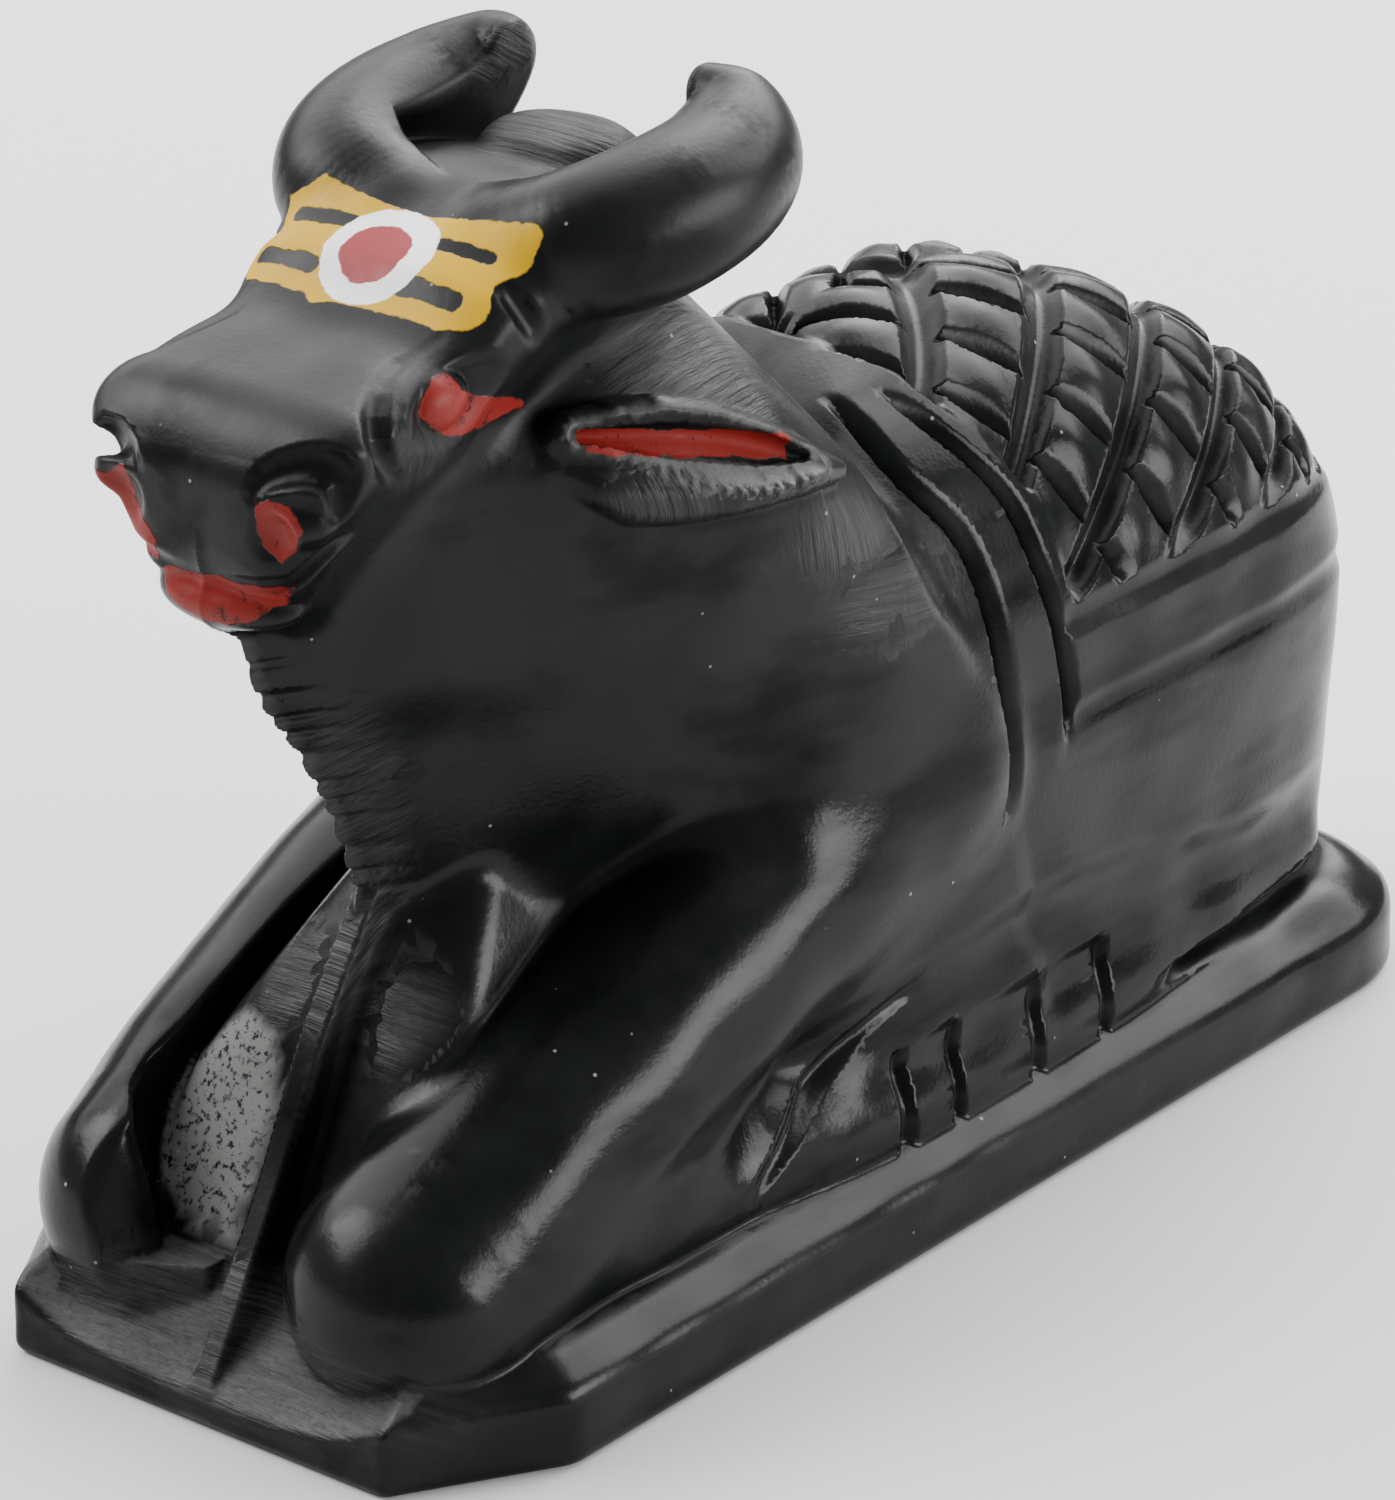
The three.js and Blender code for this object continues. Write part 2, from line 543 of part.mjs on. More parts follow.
// Folds the edges of a closed mesh, the flattest first, until it is down to a number of triangles.
// The cost of an edge is the distance of its new point from the planes that met at its two ends.
function thin({ points, faces }, target) {
  const spot = points.map((p) => p.slice());
  const tri = faces.map((f) => f.slice());
  const alive = new Uint8Array(tri.length).fill(1);
  const around = spot.map(() => new Set());
  tri.forEach((f, n) => f.forEach((v) => around[v].add(n)));
  const quadric = spot.map(() => new Float64Array(10));
  const faceNormal = (a, b, c) => {
    const u = [b[0] - a[0], b[1] - a[1], b[2] - a[2]];
    const v = [c[0] - a[0], c[1] - a[1], c[2] - a[2]];
    return [u[1] * v[2] - u[2] * v[1], u[2] * v[0] - u[0] * v[2], u[0] * v[1] - u[1] * v[0]];
  };
  tri.forEach((f) => {
    const n = faceNormal(...f.map((v) => spot[v]));
    const area = length3(...n);
    if (area < 1e-12) return;
    const [a, b, c] = n.map((v) => v / area);
    const d = -(a * spot[f[0]][0] + b * spot[f[0]][1] + c * spot[f[0]][2]);
    const plane = [a * a, a * b, a * c, a * d, b * b, b * c, b * d, c * c, c * d, d * d];
    f.forEach((v) => plane.forEach((q, i) => { quadric[v][i] += q * area; }));
  });
  const error = (q, p) => {
    const [x, y, z] = p;
    return q[0] * x * x + 2 * q[1] * x * y + 2 * q[2] * x * z + 2 * q[3] * x + q[4] * y * y
      + 2 * q[5] * y * z + 2 * q[6] * y + q[7] * z * z + 2 * q[8] * z + q[9];
  };
  const best = (a, b) => {
    const q = quadric[a].map((v, i) => v + quadric[b][i]);
    const middle = spot[a].map((v, i) => (v + spot[b][i]) / 2);
    const choices = [middle, spot[a], spot[b]];
    const slopes = new THREE.Matrix3().set(q[0], q[1], q[2], q[1], q[4], q[5], q[2], q[5], q[7]);
    if (Math.abs(slopes.determinant()) > 1e-3 * (q[0] + q[4] + q[7]) ** 3) {
      const lowest = new THREE.Vector3(-q[3], -q[6], -q[8]).applyMatrix3(slopes.invert());
      const reach = 2 * length3(...spot[a].map((v, i) => v - spot[b][i]));
      if (lowest.distanceTo(new THREE.Vector3(...middle)) < reach) choices.unshift(lowest.toArray());
    }
    const costs = choices.map((p) => error(q, p));
    const least = costs.indexOf(Math.min(...costs));
    const stretch = length3(...spot[a].map((v, i) => v - spot[b][i])) ** 2;
    return { a, b, q, p: choices[least], cost: Math.max(costs[least], 0) + 1e-5 * stretch };
  };
  const version = new Uint32Array(spot.length);
  const heap = [];
  const less = (i, j) => heap[i].cost < heap[j].cost;
  const swap = (i, j) => { [heap[i], heap[j]] = [heap[j], heap[i]]; };
  const push = (item) => {
    heap.push(item);
    let i = heap.length - 1;
    while (i > 0 && less(i, (i - 1) >> 1)) {
      swap(i, (i - 1) >> 1);
      i = (i - 1) >> 1;
    }
  };
  const pop = () => {
    swap(0, heap.length - 1);
    const top = heap.pop();
    let i = 0;
    for (;;) {
      let next = i;
      for (const child of [2 * i + 1, 2 * i + 2]) {
        if (child < heap.length && less(child, next)) next = child;
      }
      if (next === i) return top;
      swap(i, next);
      i = next;
    }
  };
  const offer = (a, b) => {
    const item = best(a, b);
    item.versions = [version[a], version[b]];
    push(item);
  };
  const neighbours = (v) => {
    const found = new Set();
    around[v].forEach((n) => tri[n].forEach((w) => { if (w !== v) found.add(w); }));
    return found;
  };
  tri.forEach((f) => f.forEach((v, i) => {
    const w = f[(i + 1) % 3];
    if (v < w) offer(v, w);
  }));
  const staysSound = ({ a, b, p }) => {
    const shared = [...around[a]].filter((n) => around[b].has(n));
    if (shared.length !== 2) return false;
    const nearB = neighbours(b);
    if ([...neighbours(a)].filter((v) => nearB.has(v)).length !== 2) return false;
    for (const v of [a, b]) {
      for (const n of around[v]) {
        if (!shared.includes(n)) {
          const corners = tri[n].map((w) => spot[w]);
          const before = faceNormal(...corners);
          const after = faceNormal(...tri[n].map((w) => (w === v ? p : spot[w])));
          const dot = before[0] * after[0] + before[1] * after[1] + before[2] * after[2];
          const size = length3(...after);
          if (dot < 0.3 * length3(...before) * size || size < 1e-3) return false;
        }
      }
    }
    return true;
  };
  let left = tri.length;
  while (left > target && heap.length) {
    const item = pop();
    const { a, b, p, q, versions } = item;
    if (version[a] === versions[0] && version[b] === versions[1] && staysSound(item)) {
      for (const n of [...around[b]]) {
        if (around[a].has(n)) {
          alive[n] = 0;
          left -= 1;
          tri[n].forEach((v) => around[v].delete(n));
        } else {
          tri[n] = tri[n].map((v) => (v === b ? a : v));
          around[a].add(n);
        }
      }
      around[b].clear();
      spot[a] = p;
      quadric[a] = q;
      version[a] += 1;
      version[b] += 1;
      neighbours(a).forEach((v) => offer(a, v));
    }
  }
  const kept = new Map();
  const vertices = [];
  const triangles = [];
  tri.forEach((f, n) => {
    if (!alive[n]) return;
    f.forEach((v) => {
      if (!kept.has(v)) {
        kept.set(v, kept.size);
        vertices.push(...spot[v]);
      }
      triangles.push(kept.get(v));
    });
  });
  return { vertices, triangles };
}

// Plinth outline, moved in from the wall's face: front corners cut off, rear corners round
function plinthOutline(inset) {
  const side = plinthWidth / 2 - inset;
  const end = plinthLength / 2 - inset;
  const slant = length2(frontCornerAcross, frontCornerAlong);
  const across = frontCornerAcross + inset * ((slant - frontCornerAcross) / frontCornerAlong - 1);
  const lengthwise = frontCornerAlong + inset * ((slant - frontCornerAlong) / frontCornerAcross - 1);
  const radius = rearCornerRadius - inset;
  const shape = new THREE.Shape();
  shape.moveTo(across - side, -end);
  shape.lineTo(side - across, -end);
  shape.lineTo(side, lengthwise - end);
  shape.absarc(side - radius, end - radius, radius, 0, Math.PI / 2, false);
  shape.absarc(radius - side, end - radius, radius, Math.PI / 2, Math.PI, false);
  shape.lineTo(-side, lengthwise - end);
  shape.closePath();
  return shape.getPoints(8);
}

const wasm = await Module();
wasm.setup();

function solidOf(vertices, triangles) {
  return new wasm.Manifold(new wasm.Mesh({
    numProp: 3, vertProperties: new Float32Array(vertices), triVerts: new Uint32Array(triangles),
  }));
}

function solidOfGeometry(geometry) {
  geometry.deleteAttribute('normal');
  geometry.deleteAttribute('uv');
  const merged = mergeVertices(geometry, weldDistance);
  return solidOf(merged.attributes.position.array, merged.index.array);
}

function geometryOf(solid) {
  const mesh = solid.getMesh();
  const geometry = new THREE.BufferGeometry();
  geometry.setAttribute('position', new THREE.BufferAttribute(mesh.vertProperties.slice(), 3));
  geometry.setIndex(new THREE.BufferAttribute(mesh.triVerts.slice(), 1));
  return geometry;
}

// Layer of the plinth between two heights, its sides sloping from one inset to another
function layer(lowInset, lowHeight, highInset, highHeight) {
  const low = plinthOutline(lowInset);
  const high = plinthOutline(highInset);
  const depth = highHeight - lowHeight;
  const geometry = new THREE.ExtrudeGeometry(new THREE.Shape(low), { depth, bevelEnabled: false });
  const place = geometry.attributes.position;
  for (let i = 0; i < place.count; i += 1) {
    if (place.getZ(i) > 0) {
      const n = low.findIndex((p) => length2(p.x - place.getX(i), p.y - place.getY(i)) < 1e-4);
      place.setXY(i, high[n].x, high[n].y);
    }
  }
  geometry.translate(0, 0, lowHeight);
  return solidOfGeometry(geometry);
}

// Wedge that dresses the front of the plinth to a slope, level across the middle and rising to
// the two corners
function frontWedge() {
  const tilt = Math.tan(THREE.MathUtils.degToRad(frontSlopeAngle));
  const half = plinthWidth / 2 + 1;
  const strips = 16;
  const profile = new THREE.Shape();
  profile.moveTo(half, 2 * plinthTop + frontSlopeRise * (2 * half / frontSlopeWidth) ** 4);
  for (let i = 0; i <= strips; i += 1) {
    const x = half * (2 * i / strips - 1);
    profile.lineTo(x, frontSlopeRise * (2 * x / frontSlopeWidth) ** 4);
  }
  profile.closePath();
  const depth = 2 * plinthTop / tilt;
  const geometry = new THREE.ExtrudeGeometry(profile, { depth, bevelEnabled: false });
  geometry.applyMatrix4(new THREE.Matrix4().set(
    -1, 0, 0, 0,
    0, 0, 1, -1 - plinthLength / 2,
    0, 1, tilt, frontSlopeEdge - tilt,
    0, 0, 0, 1));
  return solidOfGeometry(geometry);
}

function plinthSolid() {
  const foot = layer(edgeChamfer, 0, 0, edgeChamfer);
  const wall = layer(0, edgeChamfer, 0, wallHeight);
  const band = layer(0, wallHeight, bandInset, plinthTop);
  return foot.add(wall).add(band).subtract(frontWedge());
}

// Place along the finished figure of a place in the drawing
function seated(y) {
  return (y - drawnKnee) * unit + kneeMargin - plinthLength / 2;
}

// The bull in place on its plinth, cut off level just above the underside
function seatedBull(x, y, z) {
  const place = (y - seated(0)) / unit;
  const height = (z - plinthTop) / unit + drawnSeat;
  return Math.max(bullSolid(x / unitAcross, place, height) * unit, slabUnderBull - z);
}

// How far a route reaches on one axis
function reach(points, axis) {
  return Math.max(...points.map((p) => p[axis] + p[3]));
}

function bullMesh() {
  const half = Math.max(barrel.halfWidth, reach(foreleg, 0), reach(hindRoll, 0)) * unitAcross;
  const knee = seated(Math.min(drawnKnee, ...foreleg.map(([, y, , radius]) => y - radius)));
  const rump = seated(Math.max(barrel.middle + barrel.toRump, reach(hindRoll, 1)));
  const top = plinthTop + (reach(horn, 2) - drawnSeat) * unit;
  const room = 2.3 * cell;
  const low = [-half - room, knee - room, slabUnderBull - room];
  const high = [half + room, rump + room, top + room];
  return thin(polygonise(seatedBull, low, high, cell), triangleBudget);
}

const stone = new THREE.MeshStandardMaterial({ color: 0x2b2d2e, roughness: 0.35, metalness: 0 });

// Bull and plinth as one stone. Slivers closed off in the thinned grooves are left out of it.
function carving() {
  const bull = bullMesh();
  const joined = plinthSolid().add(solidOf(bull.vertices, bull.triangles));
  const bodies = solidOfGeometry(geometryOf(joined)).decompose();
  const geometry = geometryOf(bodies.reduce((a, b) => (a.volume() > b.volume() ? a : b)));
  geometry.computeVertexNormals();
  const mesh = new THREE.Mesh(geometry, stone);
  mesh.name = 'nandi_bull';
  return mesh;
}

const figure = new THREE.Group();
figure.add(carving());

export default figure;
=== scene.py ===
"""Nandi bull figure: a reclining bull on a low plinth, carved from one block of dark stone.

Lengths in the shapes are millimetres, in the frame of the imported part: +Z up, the bull faces -Y and
its left flank is towards +X. Everything is brought to metres where it becomes a mesh or a light.
"""
import math

import bmesh
import bpy
import numpy as np
from mathutils import Matrix, Vector


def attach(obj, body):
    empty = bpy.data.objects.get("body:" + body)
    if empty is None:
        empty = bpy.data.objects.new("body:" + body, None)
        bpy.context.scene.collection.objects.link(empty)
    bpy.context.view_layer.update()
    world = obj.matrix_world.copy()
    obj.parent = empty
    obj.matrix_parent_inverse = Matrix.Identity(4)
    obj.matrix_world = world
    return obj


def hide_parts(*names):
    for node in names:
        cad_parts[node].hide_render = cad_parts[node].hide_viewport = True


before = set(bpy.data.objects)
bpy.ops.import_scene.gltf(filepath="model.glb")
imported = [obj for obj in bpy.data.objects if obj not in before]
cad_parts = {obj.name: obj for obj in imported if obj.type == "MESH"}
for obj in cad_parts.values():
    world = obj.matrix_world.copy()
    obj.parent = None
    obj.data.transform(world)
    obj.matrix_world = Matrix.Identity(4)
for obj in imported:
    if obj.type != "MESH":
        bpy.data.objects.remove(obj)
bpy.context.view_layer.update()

MM = 0.001
SEED = 7

# Mesh: grid cell in mm, cells along a block, blocks worked out at a time, most triangles after
# thinning, and the distance given to what is far away
CELL = 0.3
BLOCK = 4
BLOCKS_AT_ONCE = 4000
MOST_TRIANGLES = 182000
FAR = 6.0
FIELD_LOW, FIELD_HIGH = [-21.0, -51.0, -1.0], [21.0, 51.0, 74.0]
TINY = 1e-3

# Figure and plinth, as in the part's source
PLINTH_HALF_WIDTH = 20.0
PLINTH_HALF_LENGTH = 50.0
WALL_HEIGHT = 4.6
PLINTH_TOP = 6.8
BAND_INSET = 3.0
FRONT_CORNER_ACROSS = 6.0
FRONT_CORNER_ALONG = 9.7
REAR_CORNER_RADIUS = 11.0
FRONT_SLOPE_WIDTH = 28.0
FRONT_SLOPE_RISE = 2.4
FRONT_SLOPE_EDGE = 1.9
FRONT_SLOPE_ANGLE = 36.0
FIGURE_TOP = 72.18

# Lattice of the blanket
GROOVE_DEPTH = 1.2
LATTICE_NARROW = 2.6
LATTICE_WIDE = 5.0
LATTICE_PITCH = 6.5
LATTICE_ROW_PITCH = 12.3
PILLOW = 0.35


# Solid forms, each as a signed distance: negative inside, in millimetres

def join(a, b, k):
    """Two solids with a fillet of about k between them"""
    h = np.maximum(k - np.abs(a - b), 0) / k
    return np.minimum(a, b) - h * h * k / 4


def share(a, b, k):
    """What two solids have in common, with a rounded edge"""
    return -join(-a, -b, k)


def cut(a, b, k):
    """a without b, with a rounded edge"""
    return -join(-a, b, k)


def length(*parts):
    total = parts[0] ** 2
    for part in parts[1:]:
        total = total + part ** 2
    return np.sqrt(total)


def smooth(t, low, high):
    t = np.clip((t - low) / (high - low), 0, 1)
    return t * t * (3 - 2 * t)


def ramped(t, rise, fall):
    """1 between two ramps, each given by its ends, and 0 outside them"""
    return smooth(t, *rise) * (1 - smooth(t, *fall))


def between(t, low, high, fade):
    return ramped(t, (low, low + fade), (high - fade, high))


def along(stations, t):
    """A value read off a smooth curve through (place, value) stations"""
    place, value = np.array(stations, float).T
    slope = np.empty_like(value)
    slope[1:-1] = (value[2:] - value[:-2]) / (place[2:] - place[:-2])
    slope[0] = (value[1] - value[0]) / (place[1] - place[0])
    slope[-1] = (value[-1] - value[-2]) / (place[-1] - place[-2])
    t = np.clip(t, place[0], place[-1])
    i = np.clip(np.searchsorted(place, t) - 1, 0, len(place) - 2)
    span = place[i + 1] - place[i]
    s = (t - place[i]) / span
    rise = s * s * (3 - 2 * s)
    bend = slope[i] * s * (1 - s) ** 2 - slope[i + 1] * s * s * (1 - s)
    return value[i] + (value[i + 1] - value[i]) * rise + span * bend


def route(points, steps):
    """Smooth route through a few (x, y, z, radius) points"""
    p = np.array(points, float)
    spots = np.vstack([2 * p[0, :3] - p[1, :3], p[:, :3], 2 * p[-1, :3] - p[-2, :3]])
    made = []
    for n in range(steps * (len(p) - 1) + 1):
        i = min(n // steps, len(p) - 2)
        w = n / steps - i
        p0, p1, p2, p3 = spots[i:i + 4]
        d0, d1, d2 = (np.linalg.norm(b - a) ** 0.5 for a, b in ((p0, p1), (p1, p2), (p2, p3)))
        t1 = ((p1 - p0) / d0 - (p2 - p0) / (d0 + d1) + (p2 - p1) / d1) * d1
        t2 = ((p2 - p1) / d1 - (p3 - p1) / (d1 + d2) + (p3 - p2) / d2) * d1
        spot = p1 + t1 * w + (3 * (p2 - p1) - 2 * t1 - t2) * w ** 2 + (2 * (p1 - p2) + t1 + t2) * w ** 3
        radius = along(list(enumerate(p[:, 3])), n / steps)
        made.append((*spot, float(radius)))
    return made


def chain(spot, points):
    """Row of round limbs through (x, y, z, radius) points"""
    x, y, z = spot
    least = None
    for a, b in zip(points[:-1], points[1:]):
        bx, by, bz = b[0] - a[0], b[1] - a[1], b[2] - a[2]
        px, py, pz = x - a[0], y - a[1], z - a[2]
        t = np.clip((px * bx + py * by + pz * bz) / (bx * bx + by * by + bz * bz), 0, 1)
        d = length(px - bx * t, py - by * t, pz - bz * t) - (a[3] + (b[3] - a[3]) * t)
        least = d if least is None else np.minimum(least, d)
    return least


def egg(spot, centre, radii):
    q = [(s - c) / r for s, c, r in zip(spot, centre, radii)]
    k = length(*q)
    g = length(*(v / r for v, r in zip(q, radii)))
    return k * (k - 1) / np.maximum(g, 1e-9)


def within(spot, box, form):
    """A small form, worked out only inside the box that holds it"""
    inside = np.ones(spot[0].shape, bool)
    for s, a, b in zip(spot, *box):
        inside &= (s > a) & (s < b)
    d = np.full(spot[0].shape, FAR)
    if inside.any():
        d[inside] = form(tuple(s[inside] for s in spot))
    return d


def groove(distance, width, depth):
    t = np.clip(np.abs(distance) / (width / 2), 0, 1)
    return depth * (1 - t * t) ** 2


def grooves(place, pitch, width, depth):
    return groove(place - np.round(place / pitch) * pitch, width, depth)


# Barrel: upright flanks below the spring line, an arched back above it, blunt in plan
BARREL_HALF, BARREL_MIDDLE, TO_RUMP, TO_SHOULDER = 17.4, 10.3, 36.5, 28.0
SPRING, RISE, PLAN_POWER, ARCH_POWER, FOOT_TAPER = 27.2, 25.1, 4.9, 1.9, 0.0016


def barrel(spot):
    X, y, z = spot
    drop = np.maximum(SPRING - z, 0)
    a = BARREL_HALF * (1 - FOOT_TAPER * drop)
    b = np.where(y > BARREL_MIDDLE, TO_RUMP, TO_SHOULDER) * (1 - FOOT_TAPER * drop)
    u = np.maximum(X, TINY) / a
    v = np.maximum(np.abs(y - BARREL_MIDDLE), TINY) / b
    w = np.maximum(z - SPRING, TINY) / RISE
    rho = (u ** PLAN_POWER + v ** PLAN_POWER) ** (1 / PLAN_POWER)
    f = (rho ** ARCH_POWER + w ** ARCH_POWER) ** (1 / ARCH_POWER)
    flat = (rho / f) ** (ARCH_POWER - 1)
    g = length(
        flat * (u / rho) ** (PLAN_POWER - 1) / a, flat * (v / rho) ** (PLAN_POWER - 1) / b,
        (w / f) ** (ARCH_POWER - 1) / RISE)
    return (f - 1) / g


# Neck and chest: a wedge whose keel runs from throat to brisket, under a roof-shaped nape
KEEL = [(16, -31.5), (25.5, -34.7), (32.3, -37.4), (37.3, -39.8), (42.8, -43.6), (50, -45)]
WEDGE_SPREAD = 0.577
NAPE_RIDGE = [(-45, 52), (-30, 60.5), (-14, 61.5), (-8, 58.3), (0, 54)]
NAPE_FALL = 0.68
NAPE_TOP = 66
NAPE_END = (-7.5, 54)
NECK_HALF = 15.6
KEEL_NOTCH = 0.2
NOTCHED_FROM, NOTCHED_TO = 17, 46


def neck(spot):
    X, y, z = spot
    notch = np.sin(z * 3.9 + 1.3 * np.sin(z * 1.1)) * (1 - smooth(X, 0.4, 2.4))
    notch = notch * between(z, NOTCHED_FROM, NOTCHED_TO, 3)
    side = (X - (y - along(KEEL, z)) * WEDGE_SPREAD) / math.hypot(1, WEDGE_SPREAD)
    roof = (z - along(NAPE_RIDGE, y) + X * NAPE_FALL) / math.hypot(1, NAPE_FALL)
    back = (y - NAPE_END[0]) * 0.95 + (z - NAPE_END[1]) * 0.3
    d = share(side + KEEL_NOTCH * np.maximum(notch, 0), roof, 2)
    d = share(d, X - NECK_HALF, 5)
    d = share(d, z - NAPE_TOP, 2)
    return share(d, back, 1)


# Forelegs: folded under with the knees forward and the shin along the plinth, each a thick wall
# with an upright inner face
FORELEG = route([
    (10.4, 0, 27, 7.6), (10.6, -12, 22.5, 7.5), (10.6, -27, 16.6, 7.1), (10.2, -36, 12, 7.1),
    (9.4, -41.5, 8.6, 7.6)], 3)
SHIN = route([
    (9.8, -39, 8.4, 6.6), (10.6, -28, 8.6, 6.4), (11, -18, 8.8, 6.1), (11.2, -11, 9, 5.6)], 2)
INNER_LEAN = 0.3
INNER_NEAR = [(-48.5, 6), (-45.5, 2.6), (-43, 4.2), (-38, 5.2), (-20, 6)]
INNER_FAR = [(-48.5, 8), (-45.5, 6.6), (-43.5, 8.2), (-41, 9.4), (-38, 9.8), (-26, 9), (-18, 7)]


def foreleg(spot):
    x, y, z = spot
    X = np.abs(x)
    far = along(INNER_FAR, y) + INNER_LEAN * np.clip(z - 8, 0, 6) * smooth(-y, 38, 44)
    inner = np.where(x > 0, along(INNER_NEAR, y), far)
    leg = join(chain((X, y, z), FORELEG), chain((X, y, z), SHIN), 2)
    return share(leg, inner - X, 0.7)


# Panel slanting down from the brisket between the forelegs, narrower towards its top
CHEST_FOOT, CHEST_SLANT = (-45, 5), 0.5
CHEST_HALF, CHEST_SPREAD, CHEST_WIDEST = (9.8, 16), 0.45, 10
CHEST_TOP = (-34.7, 25.5)
CHEST_BACK = -20


def chest(spot):
    X, y, z = spot
    front = (CHEST_FOOT[0] + (z - CHEST_FOOT[1]) * CHEST_SLANT - y) * 0.894
    side = (X + (z - CHEST_HALF[1]) * CHEST_SPREAD - CHEST_HALF[0]) * 0.912
    top = (z - CHEST_TOP[1] - (y - CHEST_TOP[0]) * 0.9 + X * 0.5) * 0.7
    ends = np.maximum(np.maximum(y - CHEST_BACK, top), X - CHEST_WIDEST)
    return share(share(side, front, 1.5), ends, 1.5)


# Rib: the dewlap carried down as a thin ridge between the forelegs
RIB_LINE = [
    (2, -49.7), (6, -47.4), (10.1, -45), (15.9, -41.8), (20.5, -39.4), (27.7, -34.8), (31, -33)]
RIB_HALF, RIB_TOP = 0.9, 34


def rib(spot):
    X, y, z = spot
    fore = (along(RIB_LINE, z) - y) * 0.9
    return share(share(X - RIB_HALF, fore, 0.3), np.maximum(y - CHEST_BACK, z - RIB_TOP), 1)


# Hind leg: a low roll along the flank, parted from it by a soft channel, ending in a cut hoof
HIND_ROLL = route([
    (11.4, 38.5, 8.6, 4.2), (13.6, 22, 7.8, 4.1), (14.2, 2, 7, 3.8), (13.8, -9, 7.4, 4.1),
    (13.6, -16, 7, 3.6), (13.2, -21, 6.6, 2.8)], 3)
CHANNEL_LINE = [
    (-26, 9.6), (-15.5, 12.6), (-6, 14.4), (6.5, 15.6), (17.5, 14.8), (26.5, 12.8), (36, 12.4)]
CHANNEL_WIDTH, CHANNEL_DEPTH = 6.4, 0.65
LEG_CREASE = [(-20.8, 8.2), (-17, 10.2), (-13, 12.1), (-8, 14.4), (-3, 15.6)]
CREASE_WIDTH, CREASE_DEPTH = 1.8, 0.4
FOOT_LINE, FOOT_FROM, FOOT_DEPTH = 7.4, 18, 1.3

# Hoof: (place, width) of each cut between two toes, and how far a toe falls away to the next cut
HOOF_CUTS = [(-6.5, 2.0), (-1.4, 1.5), (6.6, 1.9), (13.7, 1.6)]
HOOF_CUT_DEPTH, HOOF_CUT_TOP = 0.6, 12.4
HOOF_LEAN, TOE_FALL = 0.15, 0.5


def hind_leg_cuts(X, y, z):
    outside = smooth(X, 12, 15)
    soft = groove(z - along(CHANNEL_LINE, y), CHANNEL_WIDTH, CHANNEL_DEPTH) * between(y, -27, 44, 8)
    crease = groove(z - along(LEG_CREASE, y), CREASE_WIDTH, CREASE_DEPTH) * between(y, -22, -3, 3)
    foot = groove(z - FOOT_LINE, 1.6 + 1.4 * smooth(y, FOOT_FROM, 40), FOOT_DEPTH)
    foot = foot * between(y, FOOT_FROM, 46, 6)
    blocks = np.zeros(X.shape)
    at = y - HOOF_LEAN * (z - 10)
    in_height = between(z, 5, HOOF_CUT_TOP, 1)
    for place, width in HOOF_CUTS:
        blocks = np.maximum(blocks, groove(at - place, width, HOOF_CUT_DEPTH) * in_height)
    toes = np.zeros(X.shape)
    for (low, _), (high, _) in zip(HOOF_CUTS[:-1], HOOF_CUTS[1:]):
        toes = np.where((at > low) & (at < high), TOE_FALL * (at - low) / (high - low), toes)
    toes = toes * between(z, 6.5, 13, 1.5)
    return outside * np.maximum(np.maximum(soft + crease, foot), np.maximum(blocks, toes))


# Blanket: places are read along the back and down the girth of the barrel
QUARTER_GIRTH = 22.3
FRONT_STRAP = [(6, -1), (9, -0.7), (16, 0), (23, 3.2), (40, 3.4)]
REAR_STRAP = [(6, 0.6), (9.5, 2.3), (15.2, 4.8), (20.6, 7.7), (24.8, 8.6), (29.7, 9.4), (40, 10)]
STRAP_GROOVE, STRAP_DEPTH = 2.1, 1.4
FRONT_STRAP_RAMPS = (8.5, 14), (35, 39)
REAR_STRAP_RAMPS = (10, 16), (32, 36)
LATTICE_LOW, LATTICE_REAR = 28.4, (43.5, 46)
LATTICE_FRONT, LATTICE_GAP = 2.2, 1.6
DOWN_BACK, DOWN_FORE = (-1.05, 0.012, -16), (0.55, 0.018, -15)
ROW_DEPTH, LEAF_DEPTH = 0.95, 1.1
HEM_RAMP = (8, 11)
BORDER_HEIGHTS = (34, 28)
BORDER_GROOVE, BORDER_DEPTH = 2.6, 0.28


def girth_place(X, z):
    rise = (z - SPRING) / RISE
    above = QUARTER_GIRTH * np.arctan2(X / BARREL_HALF, np.maximum(rise, 1e-6))
    return np.where(rise <= 0, QUARTER_GIRTH * math.pi / 2 - (z - SPRING), above)


def back_place(y):
    turned = np.clip((y - BARREL_MIDDLE) / TO_RUMP, -1, 1)
    return np.where(y <= BARREL_MIDDLE, y, BARREL_MIDDLE + TO_RUMP * np.arcsin(turned))


def chased(distance, width, depth):
    """Cut with a sharp lip and narrow bevel in front, and a wide wall up to a soft shoulder behind"""
    t = distance / (width / 2)
    bevel = np.clip((t + 1) / 0.55, 0, 1) * (t <= -0.45)
    wall = np.clip((1 - t) / 1.45, 0, 1) ** 1.6 * (t > -0.45)
    return depth * np.maximum(bevel, wall)


def slanted(s, g, line):
    """Place across one family of the lattice's lines, which curve down the flank"""
    fall, bend, start = line
    return s + fall * g + bend * g * g + start


